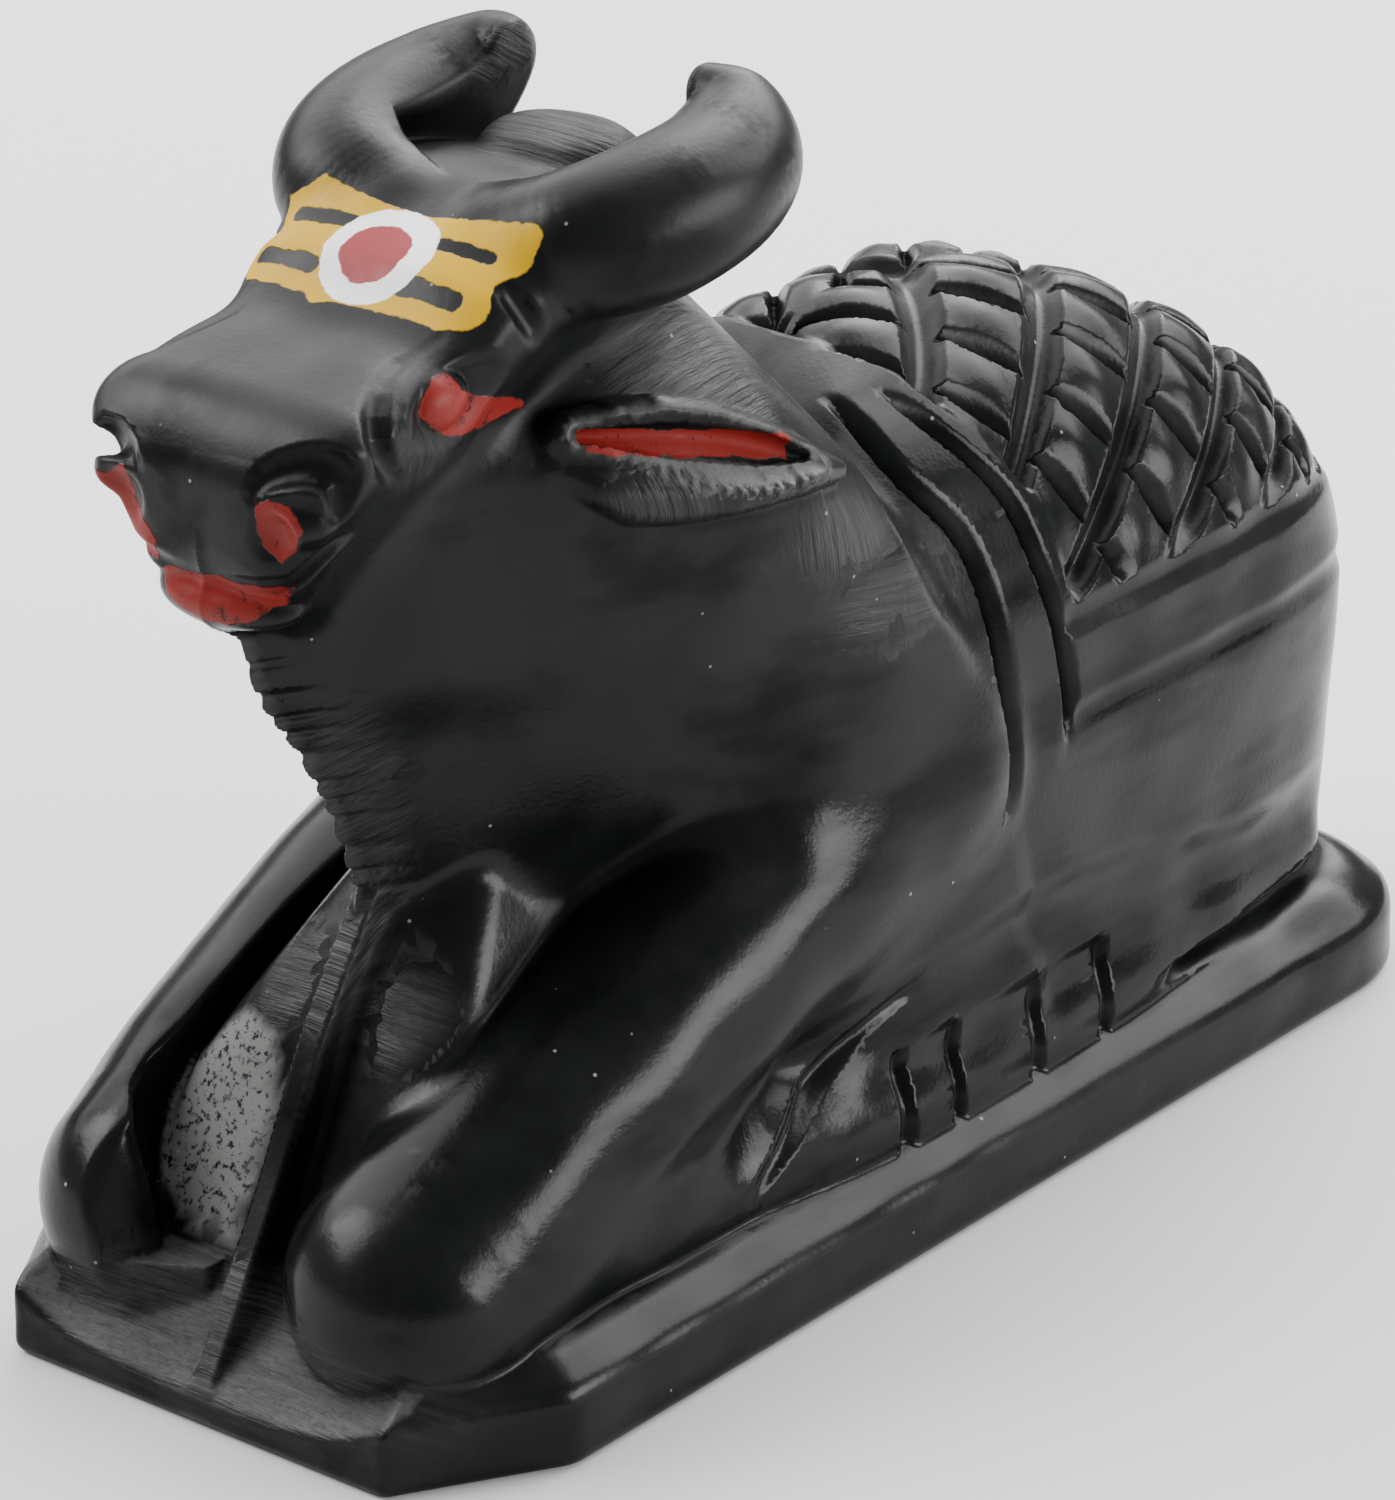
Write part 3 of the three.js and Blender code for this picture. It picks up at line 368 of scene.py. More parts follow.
def blanket_cuts(X, y, z):
    g = girth_place(X, z)
    s = back_place(y)
    lead = smooth(g, 6, 14)
    front = chased(s - along(FRONT_STRAP, g), STRAP_GROOVE * (0.45 + 0.65 * lead), STRAP_DEPTH)
    front = front * ramped(g, *FRONT_STRAP_RAMPS)
    rear = chased(s - along(REAR_STRAP, g), STRAP_GROOVE * (0.3 + 0.6 * lead), STRAP_DEPTH)
    rear = rear * ramped(g, *REAR_STRAP_RAMPS)
    from_strap = s - np.where(g < REAR_STRAP[0][0], LATTICE_FRONT, along(REAR_STRAP, g) + LATTICE_GAP)
    field = smooth(from_strap, 0, 1) * (1 - smooth(g, LATTICE_LOW - 2.5, LATTICE_LOW + 0.5))
    field = field * (1 - smooth(y, *LATTICE_REAR))
    down_back, down_fore = slanted(s, g, DOWN_BACK), slanted(s, g, DOWN_FORE)
    row = np.sin(math.pi * down_fore / LATTICE_ROW_PITCH) ** 2
    crown = np.sin(math.pi * down_back / LATTICE_PITCH) ** 2 * row
    leaf = 0.3 + 0.7 * np.sqrt(row)
    across = down_back - np.round(down_back / LATTICE_PITCH) * LATTICE_PITCH
    rows = grooves(down_fore, LATTICE_ROW_PITCH, LATTICE_WIDE, GROOVE_DEPTH * ROW_DEPTH)
    leaves = chased(across, LATTICE_NARROW * leaf, GROOVE_DEPTH * LEAF_DEPTH * leaf)
    lattice = field * (PILLOW * (1 - crown) + np.maximum(leaves, rows))
    border = np.maximum(*(groove(z - height, BORDER_GROOVE, BORDER_DEPTH) for height in BORDER_HEIGHTS))
    border = border * smooth(y, *HEM_RAMP)
    return np.maximum(np.maximum(front, rear), np.maximum(lattice, border))


# Tail: a groove down each side of it on the rump
TAIL_HALF, TAIL_GROOVE, TAIL_TOP = 2.4, 1.6, 44


def tail_cuts(X, y, z):
    sides = groove(X - TAIL_HALF, TAIL_GROOVE, GROOVE_DEPTH * 0.8)
    return sides * smooth(y, 41, 44) * between(z, 7, TAIL_TOP, 3)


# Head: a flat-topped wedge, widest below the brow and tapering down to the jaw
FACE_TOP = [
    (-47, 59.6), (-45, 60.4), (-42.9, 60.9), (-39.7, 61.5), (-36.5, 62), (-34.4, 63), (-32.4, 64.7),
    (-27.9, 66.5), (-24.6, 67.4), (-20.4, 67.2), (-14.2, 65.6), (-11, 64)]
HEAD_HALF = [
    (-47.5, 9.9), (-44, 9.8), (-40, 9.3), (-36, 9.4), (-33, 9.8), (-29, 10.3), (-23, 10), (-16, 9),
    (-11, 7.5)]
JAW_LINE = [(-46, 48.5), (-40, 46), (-30, 44), (-22, 47), (-11, 53)]
HEAD_POWER, HEAD_WIDE, JAW_TAPER = 5, 3.6, 0.62
HEAD_FRONT, HEAD_BACK = -47.6, -12


def head(spot):
    X, y, z = spot
    top = along(FACE_TOP, y)
    low = along(JAW_LINE, y)
    half = along(HEAD_HALF, y)
    tall = (top - low) / 2
    n = HEAD_POWER
    u = np.maximum(X, TINY) / half
    w = np.maximum(np.abs(z - (top + low) / 2), TINY) / tall
    f = (u ** n + w ** n) ** (1 / n)
    g = length((u / f) ** (n - 1) / half, (w / f) ** (n - 1) / tall)
    cheek = (X - half + JAW_TAPER * (top - HEAD_WIDE - z)) / math.hypot(1, JAW_TAPER)
    d = share((f - 1) / g, cheek, 1.6)
    return share(share(d, HEAD_FRONT - y, 4.5), y - HEAD_BACK, 5)


# Face: creases and folds are thin routes, what is round is an egg, given by its centre and radii
MOUTH_LINE = route([(0, -48.2, 50.4, 0.7), (4, -47.4, 50.6, 0.7), (6, -46, 51.2, 0.4)], 2)
FAR_NOSTRIL_CREASE = route([
    (4, -48.2, 55.6, 0.4), (5.2, -47.6, 56.8, 0.8), (7, -46.6, 56.8, 1), (8.3, -45.4, 55.4, 0.8)], 2)
NOSTRIL_CREASE = route([
    (4.1, -48, 56.2, 0.5), (4.9, -47.6, 57.5, 0.9), (6.5, -47, 58.3, 1.1), (8, -46.5, 58.5, 1.3),
    (9.1, -45.8, 57.6, 1.2), (8.8, -45.5, 55.6, 0.7)], 2)
FACE_LINES = [
    route([
        (6.8, -35.4, 62.6, 0.4), (6.4, -38, 62, 0.6), (7.4, -40.8, 61.4, 0.7), (9.2, -42.9, 59.2, 0.8),
        (9, -41.4, 56.4, 0.6), (7.6, -38.2, 54.4, 0.3)], 2),
    route([
        (8.6, -40.4, 60.8, 0.3), (9.6, -40.4, 58.6, 0.5), (8.9, -38.8, 56, 0.4),
        (7.8, -36.8, 54.6, 0.3)], 2),
    route([(6, -45.9, 51.4, 0.5), (7.4, -44.2, 53, 0.6), (7.6, -40.8, 53.2, 0.4)], 2),
    route([(8.6, -31.6, 64.4, 0.6), (10, -30.6, 61.8, 0.7), (9.9, -29.2, 59.2, 0.3)], 1),
    route([(9.6, -28.9, 64, 0.5), (10.4, -27.6, 61, 0.5)], 1)]
EYE = ((7.5, -36.6, 59.2), (1.5, 2.3, 1.7))
SOCKET = ((9.8, -36.2, 59.2), (2.2, 4, 2.7))
NOSTRIL = ((5.6, -48.4, 53.8), (1.8, 1.6, 2))
NOSTRIL_WING = ((6, -46, 54.9), (2.3, 1.8, 1.5))
LOWER_LIP = ((0, -44.8, 48.8), (4.8, 2.6, 1.8))


def face(spot):
    d = head(spot)
    for line in FACE_LINES:
        d = cut(d, chain(spot, line), 0.4)
    d = join(d, egg(spot, *NOSTRIL_WING), 0.4)
    d = cut(d, egg(spot, *NOSTRIL), 0.4)
    d = cut(d, egg(spot, *SOCKET), 0.7)
    d = join(d, egg(spot, *EYE), 0.3)
    d = join(d, egg(spot, *LOWER_LIP), 0.5)
    return cut(d, chain(spot, MOUTH_LINE), 0.3)


# Horns, flat where they face each other, and the ledge between them
HORN = route([
    (4.4, -26, 63.8, 4.1), (8.5, -24.9, 65.2, 4.4), (10.6, -20.7, 66.2, 4.5), (10.3, -14.9, 67.4, 4.2),
    (8.9, -12.6, 69.2, 3), (7.4, -12.8, 70.4, 1.9)], 9)
HORN_GAP_HALF, HORN_GAP_FROM, HORN_ROOT = 7.9, 66, -22.5
TUFT = ((0, -16.6, 66), (5.8, 3.8, 3))
TUFT_TOP = 68.4

# Ears: body and rim, scooped out, with a deeper floor in the scoop and a hacked lower edge
EAR = route([
    (9, -27.6, 55, 1.4), (10.8, -22.5, 53.6, 2.7), (12.8, -16.5, 51.3, 2.6),
    (14.3, -10.4, 49.2, 0.7)], 2)
EAR_RIM = route([
    (8.8, -28, 53.2, 1.1), (11.5, -24.4, 51.2, 1.7), (13.9, -19.6, 50.8, 1.8), (15, -15, 50.3, 1.3),
    (15, -10.8, 49.4, 0.5)], 2)
EAR_DEEP = route([
    (9.9, -27.2, 55, 0.4), (12.2, -22.4, 53.9, 0.9), (14, -17, 52.3, 0.9), (14.8, -13.6, 51, 0.3)], 2)
EAR_SCOOP = route([
    (10.9, -27.8, 55.4, 0.9), (14.5, -23.5, 54.9, 2.6), (16.4, -18, 53.1, 2.5),
    (16, -13.2, 51.2, 0.9)], 2)
EAR_PAINT_LOW, EAR_PAINT_HIGH = [(-28, 54.4), (-13, 50.6)], [(-28, 55.6), (-13, 52.3)]
EAR_PAINT_ENDS = (-27.6, -14.4)
EAR_TEETH, EAR_TOOTH_DEPTH = 0.95, 0.36


def horn(spot):
    X, y, z = spot
    flat = (HORN_GAP_HALF - 0.25 * (z - HORN_GAP_FROM) - X) * 0.97
    flat = flat - np.maximum(HORN_ROOT - y, 0) * 2
    return share(chain(spot, HORN), flat, 0.6)


def tuft(spot):
    """Flat-topped ledge between the horns"""
    X, y, z = spot
    return share(egg(spot, *TUFT), z - TUFT_TOP - 0.12 * (y + 17), 0.4)


def ear(spot):
    X, y, z = spot
    body = join(chain(spot, EAR), chain(spot, EAR_RIM), 0.8)
    scoop = chain(spot, EAR_SCOOP)
    d = cut(body, scoop, 0.25)
    d = cut(d, chain(spot, EAR_DEEP), 0.2)
    hacked = np.sin((y * 0.9 - z * 0.7) * 2 * math.pi / EAR_TEETH) * between(y, -28, -13, 3)
    hacked = hacked * smooth(along(EAR_PAINT_LOW, y) - z, 0.1, 0.8)
    edge = (1 - smooth(np.abs(scoop), 0.2, 0.7)) * (1 - smooth(np.abs(body), 0.2, 0.8))
    return d + EAR_TOOTH_DEPTH * edge * np.maximum(hacked, 0)


def ear_paint(X, y, z):
    """The hollow's floor, between the shaded roof and the lip, which is lightened as a painted highlight
    """
    low, high = along(EAR_PAINT_LOW, y), along(EAR_PAINT_HIGH, y)
    within_length = np.maximum(EAR_PAINT_ENDS[0] - y, y - EAR_PAINT_ENDS[1])
    return np.maximum(np.maximum(low - z, z - high), within_length)


# Block left under the far knee, its cut faces meeting in a sharp corner
BLOCK_TOP, BLOCK_BACK, BLOCK_INNER = 7.2, -42, -3


def knee_block(spot):
    x, y, z = spot
    front = 0.1 * (x + 9) - (y + 47.9)
    corner = (x + 6.8) * 0.504 - (y + 47.5) * 0.864
    sides = share(front, corner, 0.2)
    return share(sides, np.maximum(np.maximum(x - BLOCK_INNER, y - BLOCK_BACK), z - BLOCK_TOP), 0.3)


# Boxes that hold the smaller forms
FORELEG_BOX = (-22, -54, 0), (22, 12, 40)
ROLL_BOX = (4, -28, 0), (22, 48, 18)
CHEST_BOX = (-1, -52, 0), (14, -16, 32)
RIB_BOX = (-1, -54, 0), (4, -16, 38)
BLOCK_BOX = (-12, -50, 1), (-2, -40, 9)
FACE_BOX = (-1, -54, 38), (16, -26, 72)
NOSTRIL_BOX = (0, -52, 50), (14, -40, 62)
HEAD_BOX = (-1, -26, 38), (16, -6, 72)
TUFT_BOX = (-1, -24, 60), (9, -10, 72)
HORN_BOX = (-1, -34, 56), (18, -4, 76)
EAR_BOX = (5, -32, 43), (19, -6, 62)
BLANKET_FROM = -6


def bull(x, y, z):
    X = np.abs(x)
    spot, whole = (X, y, z), (x, y, z)
    d = join(barrel(spot), neck(spot), 3)
    d = join(d, within(whole, FORELEG_BOX, foreleg), 2)
    d = join(d, within(spot, ROLL_BOX, lambda s: chain(s, HIND_ROLL)), 1)
    dressed = (y > BLANKET_FROM) * np.maximum(blanket_cuts(X, y, z), tail_cuts(X, y, z))
    d = d + np.maximum(hind_leg_cuts(X, y, z), dressed)
    d = join(d, within(spot, CHEST_BOX, chest), 1)
    d = join(d, within(spot, RIB_BOX, rib), 0.8)
    d = join(d, within(whole, BLOCK_BOX, knee_block), 0.3)
    d = join(d, within(spot, FACE_BOX, face), 2)
    near, far = (
        within((side * x, y, z), NOSTRIL_BOX, lambda s: chain(s, line))
        for side, line in ((1, NOSTRIL_CREASE), (-1, FAR_NOSTRIL_CREASE)))
    d = cut(d, np.minimum(near, far), 0.4)
    d = join(d, within(spot, HEAD_BOX, head), 2)
    d = join(d, within(spot, TUFT_BOX, tuft), 0.5)
    d = join(d, within(spot, HORN_BOX, horn), 1.2)
    return join(d, within(spot, EAR_BOX, ear), 0.6)


def plinth(x, y, z):
    X = np.abs(x)
    slant = math.hypot(FRONT_CORNER_ACROSS, FRONT_CORNER_ALONG)
    corner = (
        (X - PLINTH_HALF_WIDTH + FRONT_CORNER_ACROSS) * FRONT_CORNER_ALONG
        - (y + PLINTH_HALF_LENGTH) * FRONT_CORNER_ACROSS) / slant
    radius = REAR_CORNER_RADIUS
    qx = X - PLINTH_HALF_WIDTH + radius
    qy = y - PLINTH_HALF_LENGTH + radius
    rear = length(np.maximum(qx, 0), np.maximum(qy, 0)) + np.minimum(np.maximum(qx, qy), 0) - radius
    front = np.maximum(X - PLINTH_HALF_WIDTH, -PLINTH_HALF_LENGTH - y)
    outline = np.where(y > 0, rear, share(front, corner, 0.4))
    lean = BAND_INSET / (PLINTH_TOP - WALL_HEIGHT)
    band = (outline + (z - WALL_HEIGHT) * lean) / math.hypot(1, lean)
    d = share(share(outline, band, 0.8), z - PLINTH_TOP, 1)
    d = share(d, -z, 0.9)
    tilt = math.radians(FRONT_SLOPE_ANGLE)
    rise = FRONT_SLOPE_RISE * (2 * X / FRONT_SLOPE_WIDTH) ** 4
    slope = (z - FRONT_SLOPE_EDGE - rise) * math.cos(tilt) - (y + PLINTH_HALF_LENGTH) * math.sin(tilt)
    return share(d, slope, 0.5)


# Slight unevenness of hand-rubbed stone, as a few long waves, given with their lengths in mm
UNEVEN, WAVE_COUNT, WAVE_LENGTHS = 0.05, 14, (5, 13)


def waves(count):
    rng = np.random.default_rng(SEED)
    way = rng.normal(size=(count, 3))
    way /= np.linalg.norm(way, axis=1, keepdims=True)
    way *= (2 * math.pi / rng.uniform(*WAVE_LENGTHS, count))[:, None]
    return [(*w, p) for w, p in zip(way, rng.uniform(0, 2 * math.pi, count))]


WAVES = waves(WAVE_COUNT)


def uneven(x, y, z):
    total = 0
    for a, b, c, start in WAVES:
        total = total + np.sin(a * x + b * y + c * z + start)
    return UNEVEN * (1 + total / 3) * smooth(z, 0.6, 2)


# The bull is cut off inside the plinth, and meets its top in a small fillet
SEATED_FROM, SEAT_FILLET = 1, 0.5


def carving(x, y, z):
    seated = np.maximum(bull(x, y, z), SEATED_FROM - z)
    return join(seated, plinth(x, y, z), SEAT_FILLET) + uneven(x, y, z)


# Surface of the carving as a mesh

def slope_of(solid, points, reach=0.05):
    """Value of a solid at points, and its slope there"""
    x, y, z = points.T
    value = solid(x, y, z)
    slope = np.empty_like(points)
    for axis in range(3):
        step = np.zeros(3)
        step[axis] = reach
        slope[:, axis] = solid(x + step[0], y + step[1], z + step[2]) - value
    return value, slope / reach


def grid_values(solid, low, count, size):
    """The solid's values on a grid, worked out finely only near its surface"""
    blocks = [math.ceil(c / BLOCK) for c in count]
    middle = [low[k] + (np.arange(blocks[k]) + 0.5) * BLOCK * size for k in range(3)]
    mx, my, mz = np.meshgrid(*middle, indexing="ij")
    rough = solid(mx.ravel(), my.ravel(), mz.ravel()).reshape(blocks)
    value = rough.copy()
    for axis in range(3):
        value = np.repeat(value, BLOCK, axis)
    value = np.where(value < 0, -FAR, FAR)
    near = np.argwhere(np.abs(rough) < 0.9 * BLOCK * size + 0.5)
    offset = np.stack(np.meshgrid(*[np.arange(BLOCK)] * 3, indexing="ij"), -1).reshape(-1, 3)
    for some in np.array_split(near, max(1, len(near) // BLOCKS_AT_ONCE)):
        index = (some[:, None, :] * BLOCK + offset).reshape(-1, 3)
        spot = np.array(low) + index * size
        value[tuple(index.T)] = solid(*spot.T)
    return value


def fill_corners(value, filling):
    """Fills grid points beside which two parts of the solid would meet in a line only"""
    for _ in range(20):
        inside = value < 0
        found = 0
        for axis in range(3):
            p, q = [a for a in range(3) if a != axis]
            step_p, step_q = np.eye(3, dtype=int)[[p, q]]
            shape = np.array(value.shape) - step_p - step_q
            here = tuple(slice(0, n) for n in shape)
            beside = [
                tuple(slice(o, o + n) for o, n in zip(off, shape))
                for off in (step_p, step_p + step_q, step_q)]
            a, b, c, d = inside[here], inside[beside[0]], inside[beside[1]], inside[beside[2]]
            for spot in np.argwhere((a == c) & (b == d) & (a != b)):
                corners = [spot, spot + step_p, spot + step_p + step_q, spot + step_q]
                outer = corners[1::2] if value[tuple(spot)] < 0 else corners[0::2]
                nearest = min(outer, key=lambda s: value[tuple(s)])
                value[tuple(nearest)] = filling
                found += 1
        if not found:
            return


def polygonise(solid, low, high, size):
    """One point in each cell that the surface crosses, one square for each grid edge it crosses"""
    count = [math.ceil((b - a) / size) + 1 for a, b in zip(low, high)]
    value = grid_values(solid, low, count, size)
    fill_corners(value, -1e-3 * size)
    inside = value < 0
    total = np.zeros([n - 1 for n in value.shape], np.int8)
    for c in range(8):
        bits = [(c >> k) & 1 for k in range(3)]
        total += inside[tuple(slice(bit, n - 1 + bit) for bit, n in zip(bits, value.shape))]
    cells = np.argwhere((total > 0) & (total < 8))
    corner = np.stack([
        value[tuple((cells + [c & 1, (c >> 1) & 1, c >> 2]).T)] for c in range(8)], 1)
    sums = np.zeros((len(cells), 3))
    found = np.zeros(len(cells))
    for a in range(8):
        for axis in range(3):
            b = a | (1 << axis)
            if b == a:
                continue
            crossed = (corner[:, a] < 0) != (corner[:, b] < 0)
            gap = np.where(crossed, corner[:, a] - corner[:, b], 1)
            place = np.array([a & 1, (a >> 1) & 1, a >> 2], float) + np.zeros((len(cells), 3))
            place[:, axis] += corner[:, a] / gap
            sums += place * crossed[:, None]
            found += crossed
    points = np.array(low) + (cells + sums / found[:, None]) * size
    number = np.full(total.shape, -1, np.int32)
    number[tuple(cells.T)] = np.arange(len(cells))
    squares = []
    for axis in range(3):
        p, q = (axis + 1) % 3, (axis + 2) % 3
        first = inside.take(range(0, value.shape[axis] - 1), axis)
        second = inside.take(range(1, value.shape[axis]), axis)
        crossed = np.argwhere(first != second)
        crossed = crossed[(crossed[:, p] > 0) & (crossed[:, q] > 0)]
        turned = first[tuple(crossed.T)]
        back_p, back_q = np.zeros(3, int), np.zeros(3, int)
        back_p[p] = 1
        back_q[q] = 1
        around = [crossed - back_p - back_q, crossed - back_q, crossed, crossed - back_p]
        square = np.stack([number[tuple(c.T)] for c in around], 1)
        square[~turned] = square[~turned][:, ::-1]
        squares.append(square)
    return points, np.vstack(squares)


def onto_surface(solid, points, size, turns):
    for _ in range(turns):
        value, slope = slope_of(solid, points)
        g = np.maximum(np.linalg.norm(slope, axis=1), 1e-3)
        move = np.clip(value / g, -0.4 * size, 0.4 * size) / g
        points = points - slope * move[:, None]
    return points


def mesh_of(name, points, faces):
    mesh = bpy.data.meshes.new(name)
    mesh.vertices.add(len(points))
    mesh.vertices.foreach_set("co", points.astype(np.float32).ravel())
    mesh.loops.add(faces.size)
    mesh.loops.foreach_set("vertex_index", faces.astype(np.int32).ravel())
    mesh.polygons.add(len(faces))
    mesh.polygons.foreach_set("loop_start", np.arange(0, faces.size, faces.shape[1], dtype=np.int32))
    mesh.update(calc_edges=True)
    mesh.validate()
    return mesh


def thinned(mesh, most):
    """The same surface in fewer triangles, with the flat underside as a few large ones"""
    work = bmesh.new()
    work.from_mesh(mesh)
    under = [f for f in work.faces if all(v.co.z < 0.02 for v in f.verts)]
    bmesh.ops.dissolve_faces(work, faces=under, use_verts=True)
    bmesh.ops.triangulate(work, faces=work.faces)
    work.to_mesh(mesh)
    work.free()
    piece = bpy.data.objects.new("thinning", mesh)
    bpy.context.scene.collection.objects.link(piece)
    modifier = piece.modifiers.new("thin", "DECIMATE")
    modifier.ratio = min(1.0, most / len(mesh.polygons))
    bpy.context.view_layer.update()
    made = bpy.data.meshes.new_from_object(piece.evaluated_get(bpy.context.evaluated_depsgraph_get()))
    bpy.data.objects.remove(piece)
    return made


def refined(mesh, low, high, longest, turns):
    """Splits the long edges inside a box, so that what is marked there comes out sharp"""
    work = bmesh.new()
    work.from_mesh(mesh)
    low, high = Vector(low), Vector(high)
    for _ in range(turns):
        long = [
            e for e in work.edges if e.calc_length() > longest and all(
                all(a < c < b for a, c, b in zip(low, v.co, high)) for v in e.verts)]
        bmesh.ops.subdivide_edges(work, edges=long, cuts=1)
        bmesh.ops.triangulate(work, faces=[f for f in work.faces if len(f.verts) > 3])
    work.to_mesh(mesh)
    work.free()


def outline_distance(px, py, corners):
    """Distance to a closed outline in its plane, negative inside"""
    corners = np.array(corners, float)
    nearest = np.full(px.shape, np.inf)
    inside = np.zeros(px.shape, bool)
    for (ax, ay), (bx, by) in zip(corners, np.roll(corners, -1, 0)):
        ux, uy = bx - ax, by - ay
        wx, wy = px - ax, py - ay
        t = np.clip((wx * ux + wy * uy) / (ux * ux + uy * uy), 0, 1)
        nearest = np.minimum(nearest, length(wx - ux * t, wy - uy * t))
        rise = uy if uy else 1
        inside ^= ((ay > py) != (by > py)) & (px < ax + wy * ux / rise)
    return np.where(inside, -nearest, nearest)


def disc(px, py, centre, radius):
    return length(px - centre[0], py - centre[1]) - radius


# Pale, pitted floor of the pocket between the rib and the far foreleg, seen from the front
POCKET = [
    (-8.4, 18.4), (-6.4, 19.6), (-3.6, 19), (-2.2, 14), (-2.4, 10), (-3.2, 7.6), (-6.5, 8.2),
    (-9.2, 9.8), (-10.6, 12.4), (-10, 15.6)]
POCKET_FRONT, POCKET_BACK, POCKET_SIDE = -44.4, -35, -1.1
SLOPE_TOP, SLOPE_HALF = 7.3, 14.5
# Width of the band on the ears' upward-facing lips that is lightened as a painted highlight; how far
# that highlight and the filed slope are lightened
EAR_LIP_HIGHLIGHT_REACH = 0.5
EAR_LIP_HIGHLIGHT, SLOPE_PALENESS = 0.3, 0.35


def pale_and_highlit_places(points, normals):
    """The unpolished floor of the pocket, the filed slope in front, and the upward-facing lips of the
    ears, lightened as a painted highlight
    """
    x, y, z = points.T
    inside = -outline_distance(x, z, POCKET)
    pocket = smooth(inside, -0.1, 0.5) * smooth(-normals[:, 1], 0.5, 0.75)
    pocket = pocket * ((y > POCKET_FRONT) & (y < POCKET_BACK) & (x < POCKET_SIDE))
    slope = smooth(-y, 39, 42) * smooth(normals[:, 2], 0.6, 0.75)
    slope = slope * ((z < SLOPE_TOP) & (np.abs(x) < SLOPE_HALF))
    # Painted highlight: the upward-facing lip of each ear's scoop is made pale
    lip = (np.abs(chain((np.abs(x), y, z), EAR_SCOOP)) < EAR_LIP_HIGHLIGHT_REACH) & (normals[:, 2] > 0.15)
    return np.maximum(np.maximum(pocket, slope * SLOPE_PALENESS), lip * EAR_LIP_HIGHLIGHT)


# Paint: each mark is an outline in the plane of the surface it lies on. The forehead's mark is drawn
# in a tilted plane, the eyes' from the side, and those of the nose and lip from the front.
MARK_TILT = math.radians(28)
MARK_MIDDLE = (-32.5, 64.7)
PLATE = [
    (-7.3, 3.7), (-6.7, 4.2), (-5, 3.9), (0, 3.8), (5, 4), (8.5, 4.3), (9, 4), (8.7, 2.8), (8.2, 1.7),
    (7.7, 0.6), (7.8, -0.1), (8.2, -0.7), (8.3, -1.6), (7.5, -2.5), (6.1, -3.2), (3, -3.1),
    (-1, -3.3), (-2.3, -3.8), (-3.4, -3.2), (-6.4, -3), (-8, -2.9), (-8.8, -2), (-8.6, -0.8),
    (-8.1, 0.1), (-8, 1), (-8.7, 2.1), (-8.9, 3)]
PLATE_SLOTS = [
    ((-7.1, 1.9), (-2.6, 2), 0.55), ((2.9, 1.9), (6.4, 2), 0.5),
    ((-7.6, -1.3), (-3.9, -1.35), 0.5), ((2, -1.2), (6.1, -1.3), 0.62)]
RING = ((-0.25, 0.35), 3.5)
DOT = ((-0.5, 0.3), 2.15)
EYE_PAINT = [
    (-38.5, 59.9), (-37.3, 60.8), (-36.1, 60.7), (-35.7, 59.8), (-34.2, 59), (-32.9, 58.5),
    (-29.8, 57.4), (-28.4, 56.6), (-30.6, 56.5), (-32.6, 56.4), (-34.6, 57), (-36.1, 57.1),
    (-38.1, 58.4), (-38.8, 59.2)]
NOSTRIL_PAINT = [
    (4.4, 55.7), (5.3, 56.2), (6.7, 56.1), (7.5, 55), (6.5, 53.3), (5.5, 52.5), (4.6, 53.2), (4.2, 54.4)]
FAR_NOSTRIL_PAINT = [
    (-6.6, 55), (-5.2, 55.8), (-5.3, 54.3), (-4.2, 53.1), (-3, 52), (-3.5, 50.5), (-6, 50),
    (-11, 50.5), (-11, 55)]
LIP_PAINT = [
    (-3.4, 49.9), (-2.6, 50.4), (-0.8, 50.5), (0.9, 50.8), (2.6, 50.6), (4.1, 50.7), (5.6, 50.9),
    (4.6, 49.6), (3.2, 48.6), (1.6, 47.9), (0.1, 47.9), (-1.7, 48.2), (-3, 48.9)]
PAINT_NONE = 2.0
NOSE_BACK, EYE_SIDE, EYE_TOP, EAR_SIDE = -43.5, 5, 63, 8

# Boxes where the mesh is made fine enough for the paint's edges, and the longest edge left there
PAINTED_BOXES = [((-10.5, -38, 59), (10.5, -26, 69)), ((-11, -49, 47), (10, -44, 57.5))]
PAINT_EDGE, PAINT_SPLITS = 0.42, 4


